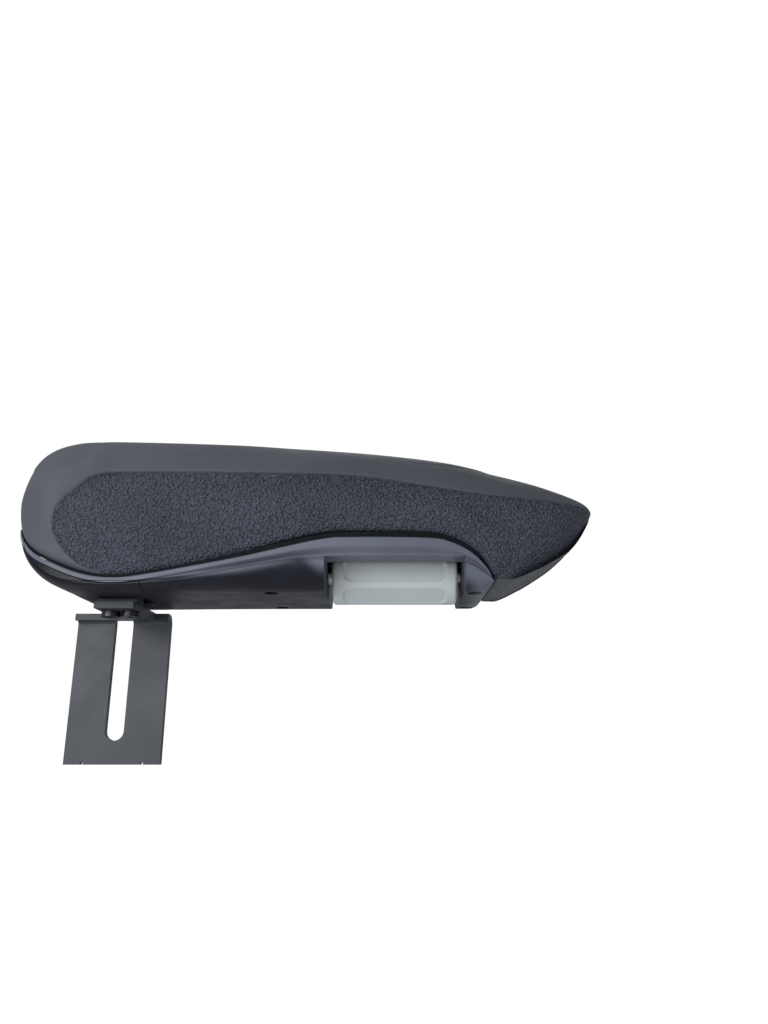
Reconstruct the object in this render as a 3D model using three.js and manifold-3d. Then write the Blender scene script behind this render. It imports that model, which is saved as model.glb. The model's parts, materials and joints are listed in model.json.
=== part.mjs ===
// Flip-up, tilt-adjustable seat armrest: foam pad, casing, adjuster roller and slotted L bracket.
// Millimetres. +X runs along the arm to its nose, +Y to the seat side, +Z up.
// Every piece is placed about the pivot axis (x = 0, z = 0, mid plane y = 0); the whole group is
// then shifted so that the origin is the mounting point on the outer face of the slotted plate.
import * as THREE from "three";
import { mergeVertices } from "three/addons/utils/BufferGeometryUtils.js";
import Module from "manifold-3d";

// ---- Driving dimensions -------------------------------------------------------------------
// Whole arm
const ARM_LENGTH = 330;
const PIVOT_SETBACK = 49; // from the rear end of the pad to the pivot axis
const NOSE_OVERHANG = 60; // pad nose beyond the front of the casing
// Foam pad
const PAD_HALF_WIDTH = 43.5;
const CROWN_HEIGHT = 50; // pivot axis to the top of the pad
const CREASE_HEIGHT = 19.5; // pivot axis to the crease that divides dome and flank
const PAD_REAR_ROUND = 44; // length of the rounded rear end, seen from above
const PAD_NOSE_TAPER = 105; // length of the tapered nose, seen from above
const FLANK_TUCK = 2; // how far the flank draws in towards its lower edge
// Casing
const CASING_RADIUS = 43; // rear arc about the pivot, and depth of the flat bottom below it
const CASING_WALL = 3;
const CASING_INSET = 2.5; // casing side inside the pad's flank
const CASING_ROLL = 14; // radius of the rounded lower edges
const PAD_GROOVE = 3.6; // shadow groove between pad and casing
const CAP_LIP = 0.6; // how far the rear cover's edge stands in past its wall
const CAP_FRONT = 31.6; // front edge of the rear cover
const BOSS_RADIUS = 5; // screw bosses of casing and carrier
const BOSS_HEIGHT = 9; // screw boss of the carrier inside the foam
const BOSS_ROOF = 1.5; // closed end of a boss over its screw hole
const SCREW_FLOOR = 4; // casing bottom to the seat of a screw head
const TONGUE_Y = 18; // hooks at the front edge of the rear cover
const TONGUE_HALF = 4;
const TONGUE_REACH = 6;
const PRY_Y = 22; // screwdriver slots in the rear cover
const PRY_X = 14;
const PRY_LENGTH = 6;
const PRY_HALF = 0.8;
const PRY_DEPTH = 1.2;
const SLOT_TOP = 3.6; // the post's rear edge stands just below this when the arm is folded up
const SLOT_FRONT_GAP = 7.2; // room for the post's front edge as the arm tilts down
// Pad carrier
const BASE_THICKNESS = 3;
const BASE_INSET = 5; // carrier edge inside the pad's flank
// Steel channel that carries the pivot
const CHANNEL_HALF_WIDTH = 15.5;
const CHANNEL_WALL = 3;
const CHANNEL_TOP = 15;
const CHANNEL_BOTTOM = -37;
const CHANNEL_REAR = -14;
const CHANNEL_LENGTH = 126;
// Pivot
const BOLT_RADIUS = 4;
const SLEEVE_WALL = 2;
const POST_HUB_RADIUS = 12;
const POST_HALF_THICKNESS = 6;
const POST_REAR = -1;
const POST_WIDTH = 22;
const LEVER_HUB_RADIUS = 11;
const LEVER_WALL = 3.5;
const FOOT_THICKNESS = 6.5;
const FOOT_TOP = -19;
const FOOT_BOTTOM = -33;
// Adjuster
const SPINDLE_DROP = 28.5; // spindle axis below the pivot axis
const ROLLER_RADIUS = 16.5;
const ROLLER_LENGTH = 70;
const ROLLER_SETBACK = 20; // front face of the roller behind the front of the casing
const ROLLER_FLATS = 6;
const FLAT_WIDTH = 13.5;
const FLAT_MARGIN = 6;
const FLAT_DEPTH = 1.6;
const SKIRT_LIFT = 17.5; // open height of the roller notch above the casing's bottom
const SPINDLE_RADIUS = 5;
const THREAD_RADIUS = 6;
const JOURNAL_RADIUS = 4;
const BUSH_WALL = 2;
const COLLAR_RADIUS = 8;
const PIN_RADIUS = 1.5;
const BEARING_THICKNESS = 10;
const NUT_SIDE_GAP = 1.5; // between the slide nut and the channel's walls
const NUT_LENGTH = 22;
const NUT_NOSE = 6;
const NUT_TRAVEL = 5; // furthest way of the nut to either side of its middle place
const NUT_CONTACT_GAP = 0.6;
const NOTCH_GAP = 2.6; // between the roller's ends and its notch
const BUSH_LENGTH = 8;
const TOWER_WALL = 1.5; // casing round the front bush
// Bracket
const SHEET = 4;
const BRACKET_WIDTH = 57;
const BRACKET_GAP = 2; // bracket flange below the casing's arc
const PLATE_HEIGHT = 88; // top of the flange to the lower edge of the slotted plate
const PLATE_OUTER_Y = 43;
const BEND_RADIUS = 6;
const SLOT_WIDTH = 11;
const SLOT_END_MARGIN = 13.5;
const NECK_START_Y = 33; // the flange narrows to its neck inside this plane
const NECK_END_Y = -12;
// Fasteners
const SCREW_RADIUS = 1.9;
const SCREW_HEAD_RADIUS = 3.6;
const SCREW_HEAD_HEIGHT = 2.4;
const CASING_SCREW_OFFSET = 1.1; // casing screws outside the space over the channel
const CASING_SCREW_REAR_X = 99;
const CASING_SCREW_FRONT_SETBACK = 12;
const POST_SCREW_RADIUS = 3;
const POST_SCREW_HEAD_RADIUS = 5.2;
const POST_SCREW_HEAD_HEIGHT = 3;
const WASHER_THICKNESS = 1.6;
const WASHER_RADIUS = 8;
const BOLT_HEAD_RADIUS = 6.5;
const BOLT_HEAD_HEIGHT = 3.2;
const CHANNEL_BOLT_RADIUS = 2.5;
const CHANNEL_BOLT_HEAD_RADIUS = 4.6;
const CHANNEL_BOLT_HEAD_HEIGHT = 2.6;
const CHANNEL_BOSS_HEIGHT = 8; // carrier boss over the channel that takes the bolt
const CHANNEL_BOSS_RADIUS = 7;
// Clearances
const FIT = 0.3; // between pieces that touch
const RUN = 0.5; // between pieces that move on each other
const SWING = 1; // around the bracket's post and the lever inside the casing

// ---- Places worked out from them ------------------------------------------------------------
const REAR_X = -PIVOT_SETBACK;
const NOSE_X = REAR_X + ARM_LENGTH;
const CASING_FRONT_X = NOSE_X - NOSE_OVERHANG;
const CASING_BOTTOM = -CASING_RADIUS;
const ROLLER_FRONT_X = CASING_FRONT_X - ROLLER_SETBACK;
const ROLLER_REAR_X = ROLLER_FRONT_X - ROLLER_LENGTH;
const ROLLER_TOP = ROLLER_RADIUS - SPINDLE_DROP;
const CHANNEL_FRONT_X = CHANNEL_REAR + CHANNEL_LENGTH;
const FLANGE_TOP = CASING_BOTTOM - BRACKET_GAP;
const PLATE_BOTTOM = FLANGE_TOP - PLATE_HEIGHT;
const SLOT_END_Z = PLATE_BOTTOM + SLOT_END_MARGIN;
const POST_FRONT = POST_REAR + POST_WIDTH;
const POST_SCREWS_X = [POST_REAR + 6, POST_FRONT - 5];
const LEVER_INNER_Y = POST_HALF_THICKNESS + SWING;
const LEVER_OUTER_Y = LEVER_INNER_Y + LEVER_WALL;
const FOOT_REAR_X = POST_FRONT + FIT;
const FOOT_FRONT_X = FOOT_REAR_X + FOOT_THICKNESS;
const SLEEVE_RADIUS = BOLT_RADIUS + FIT + SLEEVE_WALL;
const CHANNEL_INNER_Y = CHANNEL_HALF_WIDTH - CHANNEL_WALL;
const BEARING_FRONT_X = CHANNEL_FRONT_X - SWING;
const BEARING_REAR_X = BEARING_FRONT_X - BEARING_THICKNESS;
const NUT_REAR_X = FOOT_FRONT_X + NUT_CONTACT_GAP;
const SPINDLE_REAR_X = NUT_REAR_X + NUT_NOSE + NUT_TRAVEL + 2;
const PIN_X = ROLLER_REAR_X + 10;
const NOTCH_REAR_X = ROLLER_REAR_X - NOTCH_GAP;
const NOTCH_FRONT_X = ROLLER_FRONT_X + NOTCH_GAP;
const BUSH_RADIUS = JOURNAL_RADIUS + RUN + BUSH_WALL;
const BUSH_REAR_X = NOTCH_FRONT_X + FIT;
const BUSH_FRONT_X = BUSH_REAR_X + BUSH_LENGTH;
const WASHER_INNER_Y = CHANNEL_HALF_WIDTH + FIT;
const HEAD_INNER_Y = WASHER_INNER_Y + WASHER_THICKNESS + FIT;
const BOLT_END_Y = HEAD_INNER_Y + BOLT_HEAD_HEIGHT + 1;
const TUNNEL_Y = BOLT_END_Y + SWING;
const CASING_SCREW_Y = TUNNEL_Y + CASING_SCREW_OFFSET;
const MOUNT = new THREE.Vector3(0, PLATE_OUTER_Y, (PLATE_BOTTOM + SLOT_END_Z) / 2);

// ---- Materials ------------------------------------------------------------------------------
const finish = (color, roughness, metalness = 0) =>
  new THREE.MeshStandardMaterial({ color, roughness, metalness });
const FOAM = finish(0x3c4148, 0.75);
const PLASTIC = finish(0x2a2e36, 0.55);
const ROLLER_PLASTIC = finish(0xa2a9aa, 0.45);
const PAINTED_STEEL = finish(0x33383e, 0.4, 0.6);
const PLATED_STEEL = finish(0x9da2a6, 0.35, 0.9);
const BRONZE = finish(0x8a6a3c, 0.4, 0.9);
const NYLON = finish(0xd8d6cc, 0.5);

// ---- Solids ---------------------------------------------------------------------------------
const wasm = await Module();
wasm.setup();

// A closed three.js geometry as a manifold solid that can be cut and joined.
function solid(geometry) {
  const bare = new THREE.BufferGeometry();
  bare.setAttribute("position", geometry.getAttribute("position"));
  if (geometry.index) bare.setIndex(geometry.index);
  const merged = mergeVertices(bare, 1e-4);
  return new wasm.Manifold(
    new wasm.Mesh({
      numProp: 3,
      vertProperties: new Float32Array(merged.getAttribute("position").array),
      triVerts: new Uint32Array(merged.index.array),
    }),
  );
}

function geometryOf(body) {
  const mesh = body.getMesh();
  const geometry = new THREE.BufferGeometry();
  geometry.setAttribute("position", new THREE.BufferAttribute(mesh.vertProperties, 3));
  geometry.setIndex(new THREE.BufferAttribute(mesh.triVerts, 1));
  return geometry;
}

const join = (first, ...rest) => rest.reduce((sum, next) => sum.add(next), first);
const cut = (first, ...rest) => rest.reduce((sum, next) => sum.subtract(next), first);

function box(x0, x1, y0, y1, z0, z1) {
  const geometry = new THREE.BoxGeometry(x1 - x0, y1 - y0, z1 - z0);
  return solid(geometry.translate((x0 + x1) / 2, (y0 + y1) / 2, (z0 + z1) / 2));
}

// A cylinder from one end to the other along X, Y or Z through the point (a, b) of the other two.
function rod(axis, from, to, a, b, radius, sides = 32) {
  const geometry = new THREE.CylinderGeometry(radius, radius, to - from, sides);
  const middle = (from + to) / 2;
  if (axis === "x") geometry.rotateZ(-Math.PI / 2).translate(middle, a, b);
  if (axis === "y") geometry.translate(a, middle, b);
  if (axis === "z") geometry.rotateX(Math.PI / 2).translate(a, b, middle);
  return solid(geometry);
}

// A profile of (position, radius) pairs turned about the spindle's axis, which runs along X.
function turnedAlongX(profile, sides = 32) {
  const points = profile.map(([x, r]) => new THREE.Vector2(r, x));
  const geometry = new THREE.LatheGeometry(points, sides);
  return solid(geometry.rotateZ(-Math.PI / 2).translate(0, 0, -SPINDLE_DROP));
}

// A side-view outline (x, z) extruded across the arm.
function sidePlate(shape, y0, y1, segments = 12) {
  const options = { depth: y1 - y0, bevelEnabled: false, curveSegments: segments };
  const geometry = new THREE.ExtrudeGeometry(shape, options);
  return solid(geometry.rotateX(Math.PI / 2).translate(0, y1, 0));
}

// A plan outline (x, y) extruded upwards.
function planPlate(shape, z0, z1) {
  const options = { depth: z1 - z0, bevelEnabled: false, curveSegments: 12 };
  return solid(new THREE.ExtrudeGeometry(shape, options).translate(0, 0, z0));
}

// A cross-section outline (y, z) extruded along the arm.
function sectionBar(shape, x0, x1) {
  const options = { depth: x1 - x0, bevelEnabled: false, curveSegments: 6 };
  const geometry = new THREE.ExtrudeGeometry(shape, options);
  return solid(geometry.rotateX(Math.PI / 2).rotateZ(Math.PI / 2).translate(x0, 0, 0));
}

const shapeOf = (points) => new THREE.Shape(points.map(([a, b]) => new THREE.Vector2(a, b)));

// ---- Curves of the arm ----------------------------------------------------------------------
// A smooth height over x through a few (x, z) points.
function heightCurve(points) {
  const spline = new THREE.SplineCurve(points.map(([x, z]) => new THREE.Vector2(x, z)));
  const samples = spline.getPoints(points.length * 24);
  return (x) => {
    if (x <= samples[0].x) return samples[0].y;
    const next = samples.findIndex((p) => p.x >= x);
    if (next < 0) return samples[samples.length - 1].y;
    const [a, b] = [samples[Math.max(next - 1, 0)], samples[next]];
    return a.y + ((b.y - a.y) * (x - a.x)) / Math.max(b.x - a.x, 1e-6);
  };
}

const along = (share) => REAR_X + share * ARM_LENGTH;

const crownAt = heightCurve([
  [REAR_X, CROWN_HEIGHT - 38],
  [REAR_X + 1.5, CROWN_HEIGHT - 24],
  [REAR_X + 6, CROWN_HEIGHT - 13],
  [REAR_X + 14, CROWN_HEIGHT - 5.5],
  [REAR_X + 28, CROWN_HEIGHT - 1],
  [0, CROWN_HEIGHT],
  [along(0.36), CROWN_HEIGHT - 2.2],
  [along(0.48), CROWN_HEIGHT - 5],
  [along(0.63), CROWN_HEIGHT - 9],
  [along(0.74), CROWN_HEIGHT - 13.5],
  [along(0.81), CROWN_HEIGHT - 19],
  [along(0.89), CROWN_HEIGHT - 26],
  [along(0.955), CROWN_HEIGHT - 34],
  [NOSE_X, CROWN_HEIGHT - 42.5],
]);

const creaseAt = heightCurve([
  [REAR_X, CREASE_HEIGHT - 11],
  [REAR_X + 20, CREASE_HEIGHT - 7],
  [-5, CREASE_HEIGHT - 4],
  [12, CREASE_HEIGHT],
  [along(0.46), CREASE_HEIGHT - 0.5],
  [along(0.59), CREASE_HEIGHT - 2],
  [along(0.7), CREASE_HEIGHT - 7],
  [along(0.82), CREASE_HEIGHT - 12],
  [NOSE_X, CREASE_HEIGHT - 13],
]);

// The pad's lower edge: it dips round the pivot, rises over the roller and dips again at the nose.
const lowEdgeAt = heightCurve([
  [REAR_X, 5],
  [REAR_X + 3.5, 3],
  [REAR_X + 7, -3.5],
  [REAR_X + 12, -11],
  [REAR_X + 22, -20],
  [-10, -28],
  [4, -32.5],
  [18, -34],
  [36, -32],
  [(36 + ROLLER_REAR_X) / 2, -23],
  [ROLLER_REAR_X - 6, -13.6],
  [ROLLER_REAR_X + 14, -12.2],
  [ROLLER_FRONT_X - 18, -12.6],
  [ROLLER_FRONT_X - 6, -14.6],
  [CASING_FRONT_X - 14, -20],
  [CASING_FRONT_X - 6, -28],
  [CASING_FRONT_X - 1.5, -36],
  [CASING_FRONT_X + 4, -37.6],
  [CASING_FRONT_X + 12, -36.6],
  [CASING_FRONT_X + 30, -27.4],
  [CASING_FRONT_X + 45, -16.7],
  [NOSE_X - 4, -1],
  [NOSE_X, 6.5],
]);

// Half width of the pad, seen from above.
function halfWidthAt(x) {
  const rear = (REAR_X + PAD_REAR_ROUND - x) / PAD_REAR_ROUND;
  const nose = (x - NOSE_X + PAD_NOSE_TAPER) / PAD_NOSE_TAPER;
  const round = (share, power) =>
    Math.pow(Math.max(1 - Math.pow(Math.max(share, 0), power), 0), 1 / power);
  return PAD_HALF_WIDTH * round(rear, 2.2) * round(nose, 2.3);
}

// Stations along the arm, closer together where the outline turns.
const STATIONS = [];
for (let i = 0; i <= 10; i++) STATIONS.push(REAR_X + 0.4 + 40 * (1 - Math.cos((i * Math.PI) / 20)));
for (let x = 0; x < ROLLER_REAR_X - 8; x += 9) STATIONS.push(x);
for (let i = 0; i <= 7; i++) STATIONS.push(ROLLER_REAR_X - 6 + ((ROLLER_LENGTH - 2) * i) / 7);
for (let i = 0; i <= 14; i++) STATIONS.push(ROLLER_FRONT_X + 1 + ((NOSE_OVERHANG - 22) * i) / 14);
for (let i = 1; i <= 10; i++) {
  const from = ROLLER_FRONT_X + 1 + NOSE_OVERHANG - 22;
  STATIONS.push(from + (NOSE_X - 0.4 - from) * Math.sin((i * Math.PI) / 20));
}

// The region on one side of the pad's lower edge, moved by an offset, as a bar across the arm.
function edgeRegion(offset, limit, x0 = STATIONS[0], x1 = NOSE_X) {
  const xs = [x0, ...STATIONS.filter((x) => x > x0 + 0.2 && x < x1 - 0.2), x1];
  const line = xs.map((x) => [x, lowEdgeAt(x) + offset]);
  const outline = [...line, [x1, limit], [x0, limit]];
  return sidePlate(shapeOf(outline), -100, 100);
}

// ---- Foam pad -------------------------------------------------------------------------------
const DOME_STEPS = 14;

// One ring of the pad: over the dome from crease to crease, down the flanks and under.
function padRing(x) {
  const half = halfWidthAt(x);
  const low = lowEdgeAt(x);
  const crown = Math.max(crownAt(x), low + 3);
  const crease = Math.min(Math.max(creaseAt(x), low + 1), crown - 1);
  const lean = Math.PI / 9;
  const ring = [];
  for (let i = 0; i <= DOME_STEPS; i++) {
    const angle = lean + ((Math.PI - 2 * lean) * i) / DOME_STEPS;
    const share = (Math.sin(angle) - Math.sin(lean)) / (1 - Math.sin(lean));
    ring.push([(half * Math.cos(angle)) / Math.cos(lean), crease + (crown - crease) * share]);
  }
  const nose = Math.max(0, (x - CASING_FRONT_X) / NOSE_OVERHANG);
  const foot = half * (1 - 0.3 * nose) - Math.min(FLANK_TUCK, half * 0.3);
  const middle = (crease + low) / 2;
  ring.push([-half + 0.4 * (half - foot), middle], [-foot, low], [foot, low]);
  ring.push([half - 0.4 * (half - foot), middle]);
  return ring.map(([y, z]) => new THREE.Vector3(x, y, z));
}

// Rings skinned into one closed body, each end closed by a fan.
function loft(rings) {
  const count = rings[0].length;
  const positions = rings.flat().flatMap((p) => [p.x, p.y, p.z]);
  const faces = [];
  for (let r = 0; r + 1 < rings.length; r++)
    for (let i = 0; i < count; i++) {
      const [a, b] = [r * count + i, r * count + ((i + 1) % count)];
      faces.push(a, b, a + count, b, b + count, a + count);
    }
  const last = (rings.length - 1) * count;
  for (let i = 1; i + 1 < count; i++) {
    faces.push(0, i + 1, i);
    faces.push(last, last + i, last + i + 1);
  }
  const geometry = new THREE.BufferGeometry();
  geometry.setAttribute("position", new THREE.Float32BufferAttribute(positions, 3));
  geometry.setIndex(faces);
  return solid(geometry);
}

// The space over the channel and over the roller, which carrier and pad leave free.
const TUNNEL_FRONT_X = BUSH_FRONT_X + TOWER_WALL + SWING;
function tunnel(grow) {
  const overChannel = box(
    CHANNEL_REAR - 4 - grow, CHANNEL_FRONT_X + 4 + grow,
    -TUNNEL_Y - grow, TUNNEL_Y + grow, CASING_BOTTOM - 20, CHANNEL_TOP + FIT + grow,
  );
  const overRoller = box(
    CHANNEL_FRONT_X, TUNNEL_FRONT_X + grow,
    -TUNNEL_Y - grow, TUNNEL_Y + grow, CASING_BOTTOM - 20, ROLLER_TOP + 3 + grow,
  );
  return join(overChannel, overRoller);
}

const SCREW_SPOTS = [];
for (const x of [CASING_SCREW_REAR_X, CASING_FRONT_X - CASING_SCREW_FRONT_SETBACK])
  for (const y of [-CASING_SCREW_Y, CASING_SCREW_Y]) SCREW_SPOTS.push([x, y]);

const bossTop = (x) => lowEdgeAt(x) - FIT + BOSS_HEIGHT;

const CHANNEL_BOLTS_X = [CHANNEL_REAR + 50, CHANNEL_FRONT_X - 24];
const channelBossTop = CHANNEL_TOP + FIT + BASE_THICKNESS + CHANNEL_BOSS_HEIGHT;

function foamPad() {
  let pad = cut(loft(STATIONS.map(padRing)), tunnel(BASE_THICKNESS + FIT), postSlot());
  for (const [x, y] of SCREW_SPOTS)
    pad = pad.subtract(rod("z", -60, bossTop(x) + FIT, x, y, BOSS_RADIUS + FIT, 20));
  for (const x of CHANNEL_BOLTS_X)
    pad = pad.subtract(rod("z", 0, channelBossTop + FIT, x, 0, CHANNEL_BOSS_RADIUS + FIT, 20));
  return pad;
}

// ---- Pad carrier ----------------------------------------------------------------------------
// Plan outline of the arm, drawn in by an inset, up to a front limit.
function planOutline(inset, frontX) {
  const edge = [];
  for (const x of [...STATIONS.filter((s) => s < frontX - 0.5), frontX]) {
    const half = halfWidthAt(x) - inset;
    if (half > 1) edge.push([x, half]);
  }
  const mirrored = edge.map(([x, y]) => [x, -y]).reverse();
  return shapeOf([...edge, ...mirrored]);
}

// One of the two rails that follow the pad's lower edge and take the casing's screws.
function carrierRail(side) {
  const plan = planPlate(planOutline(BASE_INSET, CASING_FRONT_X - 10), -80, 60);
  const band = cut(edgeRegion(-FIT, -90), edgeRegion(-FIT - BASE_THICKNESS, -90));
  const aboveCasing = edgeRegion(-FIT - BASE_THICKNESS, 90);
  let rail = cut(band.intersect(plan), tunnel(0));
  const spots = SCREW_SPOTS.filter(([, y]) => y * side > 0);
  for (const [x, y] of spots)
    rail = rail.add(rod("z", -60, bossTop(x), x, y, BOSS_RADIUS, 20).intersect(aboveCasing));
  for (const [x, y] of spots)
    rail = rail.subtract(rod("z", -60, bossTop(x) - BOSS_ROOF, x, y, SCREW_RADIUS + FIT, 16));
  const [y0, y1] = side > 0 ? [0, 100] : [-100, 0];
  const clearOfBracket = box(1 - CASING_RADIUS, NOSE_X, y0, y1, -90, 90);
  return rail.subtract(postSlot()).intersect(clearOfBracket);
}

// The hood over channel and roller stands on the rails and takes the channel's bolts.
function channelHood() {
  let hood = cut(tunnel(BASE_THICKNESS).intersect(edgeRegion(0, 90)), tunnel(0));
  for (const x of CHANNEL_BOLTS_X)
    hood = hood
      .add(rod("z", CHANNEL_TOP + 1, channelBossTop, x, 0, CHANNEL_BOSS_RADIUS, 20))
      .subtract(rod("z", 0, channelBossTop - BOSS_ROOF, x, 0, CHANNEL_BOLT_RADIUS + FIT, 16));
  for (const [x, y] of SCREW_SPOTS)
    hood = hood.subtract(rod("z", -60, bossTop(x) + FIT, x, y, BOSS_RADIUS + FIT, 20));
  return hood.subtract(postSlot());
}

// ---- Casing and rear cover ------------------------------------------------------------------
// The casing's body between its plan, its side view and its cross-section, inset by a wall.
function casingBody(inset, topOffset) {
  const bottom = CASING_BOTTOM + inset;
  const front = CASING_FRONT_X - 1 - inset;
  const side = new THREE.Shape();
  side.moveTo(front - 8, bottom);
  side.lineTo(0, bottom);
  side.absarc(0, 0, -bottom, -Math.PI / 2, -Math.PI, true);
  side.lineTo(bottom, 60);
  side.lineTo(front, 60);
  side.lineTo(front, bottom + 8);
  side.absarc(front - 8, bottom + 8, 8, 0, -Math.PI / 2, true);
  const halfTop = PAD_HALF_WIDTH - CASING_INSET - inset;
  const roll = CASING_ROLL - Math.min(inset, CASING_ROLL - 2);
  const section = new THREE.Shape();
  section.moveTo(-halfTop + roll, bottom);
  section.lineTo(halfTop - roll, bottom);
  section.absarc(halfTop - roll, bottom + roll, roll, -Math.PI / 2, 0, false);
  section.lineTo(halfTop, 60);
  section.lineTo(-halfTop, 60);
  section.lineTo(-halfTop, bottom + roll);
  section.absarc(-halfTop + roll, bottom + roll, roll, Math.PI, 1.5 * Math.PI, false);
  return sidePlate(side, -100, 100, 16)
    .intersect(sectionBar(section, REAR_X, NOSE_X))
    .intersect(planPlate(planOutline(CASING_INSET + inset, CASING_FRONT_X), -100, 100))
    .intersect(edgeRegion(topOffset, -90));
}

// The zone of the rear cover: the lowest strip of the rear arc and of the bottom up to its front.
function capZone(grow) {
  const inner = CASING_RADIUS - CASING_WALL - CAP_LIP - grow;
  const outer = CASING_RADIUS + 10;
  const zone = new THREE.Shape();
  zone.moveTo(CAP_FRONT + grow, -inner);
  zone.lineTo(0, -inner);
  zone.absarc(0, 0, inner, -Math.PI / 2, -Math.PI * 0.999, true);
  zone.absarc(0, 0, outer, -Math.PI * 0.999, -Math.PI / 2, false);
  zone.lineTo(CAP_FRONT + grow, -outer);
  return sidePlate(zone, -100, 100, 20);
}

// The swept way of the bracket's post through bottom and rear, between the arm's limits.
function postSlot() {
  const half = POST_HALF_THICKNESS + 2 * SWING;
  return join(
    box(-5, POST_FRONT + SLOT_FRONT_GAP, -half, half, -70, -POST_HUB_RADIUS),
    box(REAR_X - 5, 5, -half, half, -70, SLOT_TOP),
  );
}

function casingShell() {
  const outer = casingBody(0, -PAD_GROOVE);
  const hollow = casingBody(CASING_WALL, 40);
  const beforeNotch = box(-100, NOTCH_REAR_X - CASING_WALL, -100, 100, -100, 100);
  return outer.subtract(hollow.intersect(beforeNotch));
}

function lowerCasing() {
  let casing = cut(casingShell(), capZone(FIT), postSlot());
  casing = cut(
    casing,
    box(NOTCH_REAR_X, NOTCH_FRONT_X, -100, 100, -100, CASING_BOTTOM + SKIRT_LIFT),
    box(NOTCH_REAR_X, NOTCH_FRONT_X, -TUNNEL_Y, TUNNEL_Y, -100, 0),
    rod("x", NOTCH_REAR_X - 10, NOTCH_REAR_X + 1, 0, -SPINDLE_DROP, SPINDLE_RADIUS + SWING),
  );
  const towerHalf = BUSH_RADIUS + FIT + TOWER_WALL;
  const tower = box(
    NOTCH_FRONT_X, BUSH_FRONT_X + TOWER_WALL,
    -towerHalf, towerHalf, CASING_BOTTOM + 2, towerHalf - SPINDLE_DROP,
  );
  const bushHole = rod("x", NOTCH_FRONT_X - 1, BUSH_FRONT_X + FIT, 0, -SPINDLE_DROP, BUSH_RADIUS + FIT);
  casing = cut(join(casing, tower), bushHole);
  for (const [x, y] of SCREW_SPOTS) {
    const top = lowEdgeAt(x) - PAD_GROOVE - 1.5;
    if (x < NOTCH_REAR_X) casing = casing.add(rod("z", CASING_BOTTOM + 1, top, x, y, BOSS_RADIUS, 20));
    casing = casing.subtract(rod("z", -60, 0, x, y, SCREW_RADIUS + FIT, 16));
    const recess = CASING_BOTTOM + SCREW_FLOOR + SCREW_HEAD_HEIGHT + FIT;
    casing = casing.subtract(rod("z", -60, recess, x, y, SCREW_HEAD_RADIUS + FIT, 20));
  }
  return casing;
}

// Two tongues at the front edge hook over the casing's floor; two shallow slots take a screwdriver.
function rearCover() {
  const cover = cut(casingShell().intersect(capZone(0)), postSlot());
  const floor = CASING_BOTTOM + CASING_WALL + FIT;
  const hookEnd = CAP_FRONT + TONGUE_REACH;
  const tongue = (y) =>
    cut(
      box(CAP_FRONT - CASING_WALL, hookEnd, y - TONGUE_HALF, y + TONGUE_HALF, floor - 2 * FIT, floor + 1.8),
      box(CAP_FRONT, hookEnd + 1, y - TONGUE_HALF - 1, y + TONGUE_HALF + 1, -60, floor),
    );
  const pry = (y) =>
    box(PRY_X, PRY_X + PRY_LENGTH, y - PRY_HALF, y + PRY_HALF, -60, CASING_BOTTOM + PRY_DEPTH);
  return cut(join(cover, tongue(TONGUE_Y), tongue(-TONGUE_Y)), pry(PRY_Y), pry(-PRY_Y));
}

// ---- Channel, pivot and lever ----------------------------------------------------------------
function armChannel() {
  const rearDrop = new THREE.Shape();
  rearDrop.moveTo(CHANNEL_FRONT_X, CHANNEL_TOP);
  rearDrop.lineTo(CHANNEL_FRONT_X, CHANNEL_BOTTOM);
  rearDrop.lineTo(FOOT_FRONT_X - 12, CHANNEL_BOTTOM);
  rearDrop.lineTo(CHANNEL_REAR, -POST_HUB_RADIUS);
  rearDrop.lineTo(CHANNEL_REAR, CHANNEL_TOP);
  const block = sidePlate(rearDrop, -CHANNEL_HALF_WIDTH, CHANNEL_HALF_WIDTH);
  const inside = box(-80, 300, -CHANNEL_INNER_Y, CHANNEL_INNER_Y, -80, CHANNEL_TOP - CHANNEL_WALL);
  return cut(
    block,
    inside,
    rod("y", -60, 60, 0, 0, BOLT_RADIUS + FIT),
    ...CHANNEL_BOLTS_X.map((x) => rod("z", 0, 30, x, 0, CHANNEL_BOLT_RADIUS + FIT, 16)),
    rod("y", -60, 60, (BEARING_REAR_X + BEARING_FRONT_X) / 2, -SPINDLE_DROP + 12, SCREW_RADIUS + FIT, 16),
  );
}

function channelBolt(x) {
  const seat = CHANNEL_TOP - CHANNEL_WALL - FIT;
  return join(
    rod("z", seat - CHANNEL_BOLT_HEAD_HEIGHT, seat, x, 0, CHANNEL_BOLT_HEAD_RADIUS, 6),
    rod("z", seat - 0.5, channelBossTop - 3, x, 0, CHANNEL_BOLT_RADIUS, 16),
  );
}

function pivotPost() {
  const leg = new THREE.Shape();
  leg.moveTo(POST_REAR, 0);
  leg.lineTo(POST_REAR, FLANGE_TOP + FIT);
  leg.lineTo(POST_FRONT, FLANGE_TOP + FIT);
  leg.lineTo(POST_FRONT, FOOT_TOP);
  leg.lineTo(POST_HUB_RADIUS * 0.8, 0);
  const plate = sidePlate(leg, -POST_HALF_THICKNESS, POST_HALF_THICKNESS);
  const hub = rod("y", -POST_HALF_THICKNESS, POST_HALF_THICKNESS, 0, 0, POST_HUB_RADIUS, 40);
  let post = join(plate, hub).subtract(rod("y", -60, 60, 0, 0, SLEEVE_RADIUS + FIT, 40));
  for (const x of POST_SCREWS_X)
    post = post.subtract(rod("z", FLANGE_TOP - 1, FLANGE_TOP + 14, x, 0, POST_SCREW_RADIUS + FIT, 20));
  return post;
}

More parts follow.
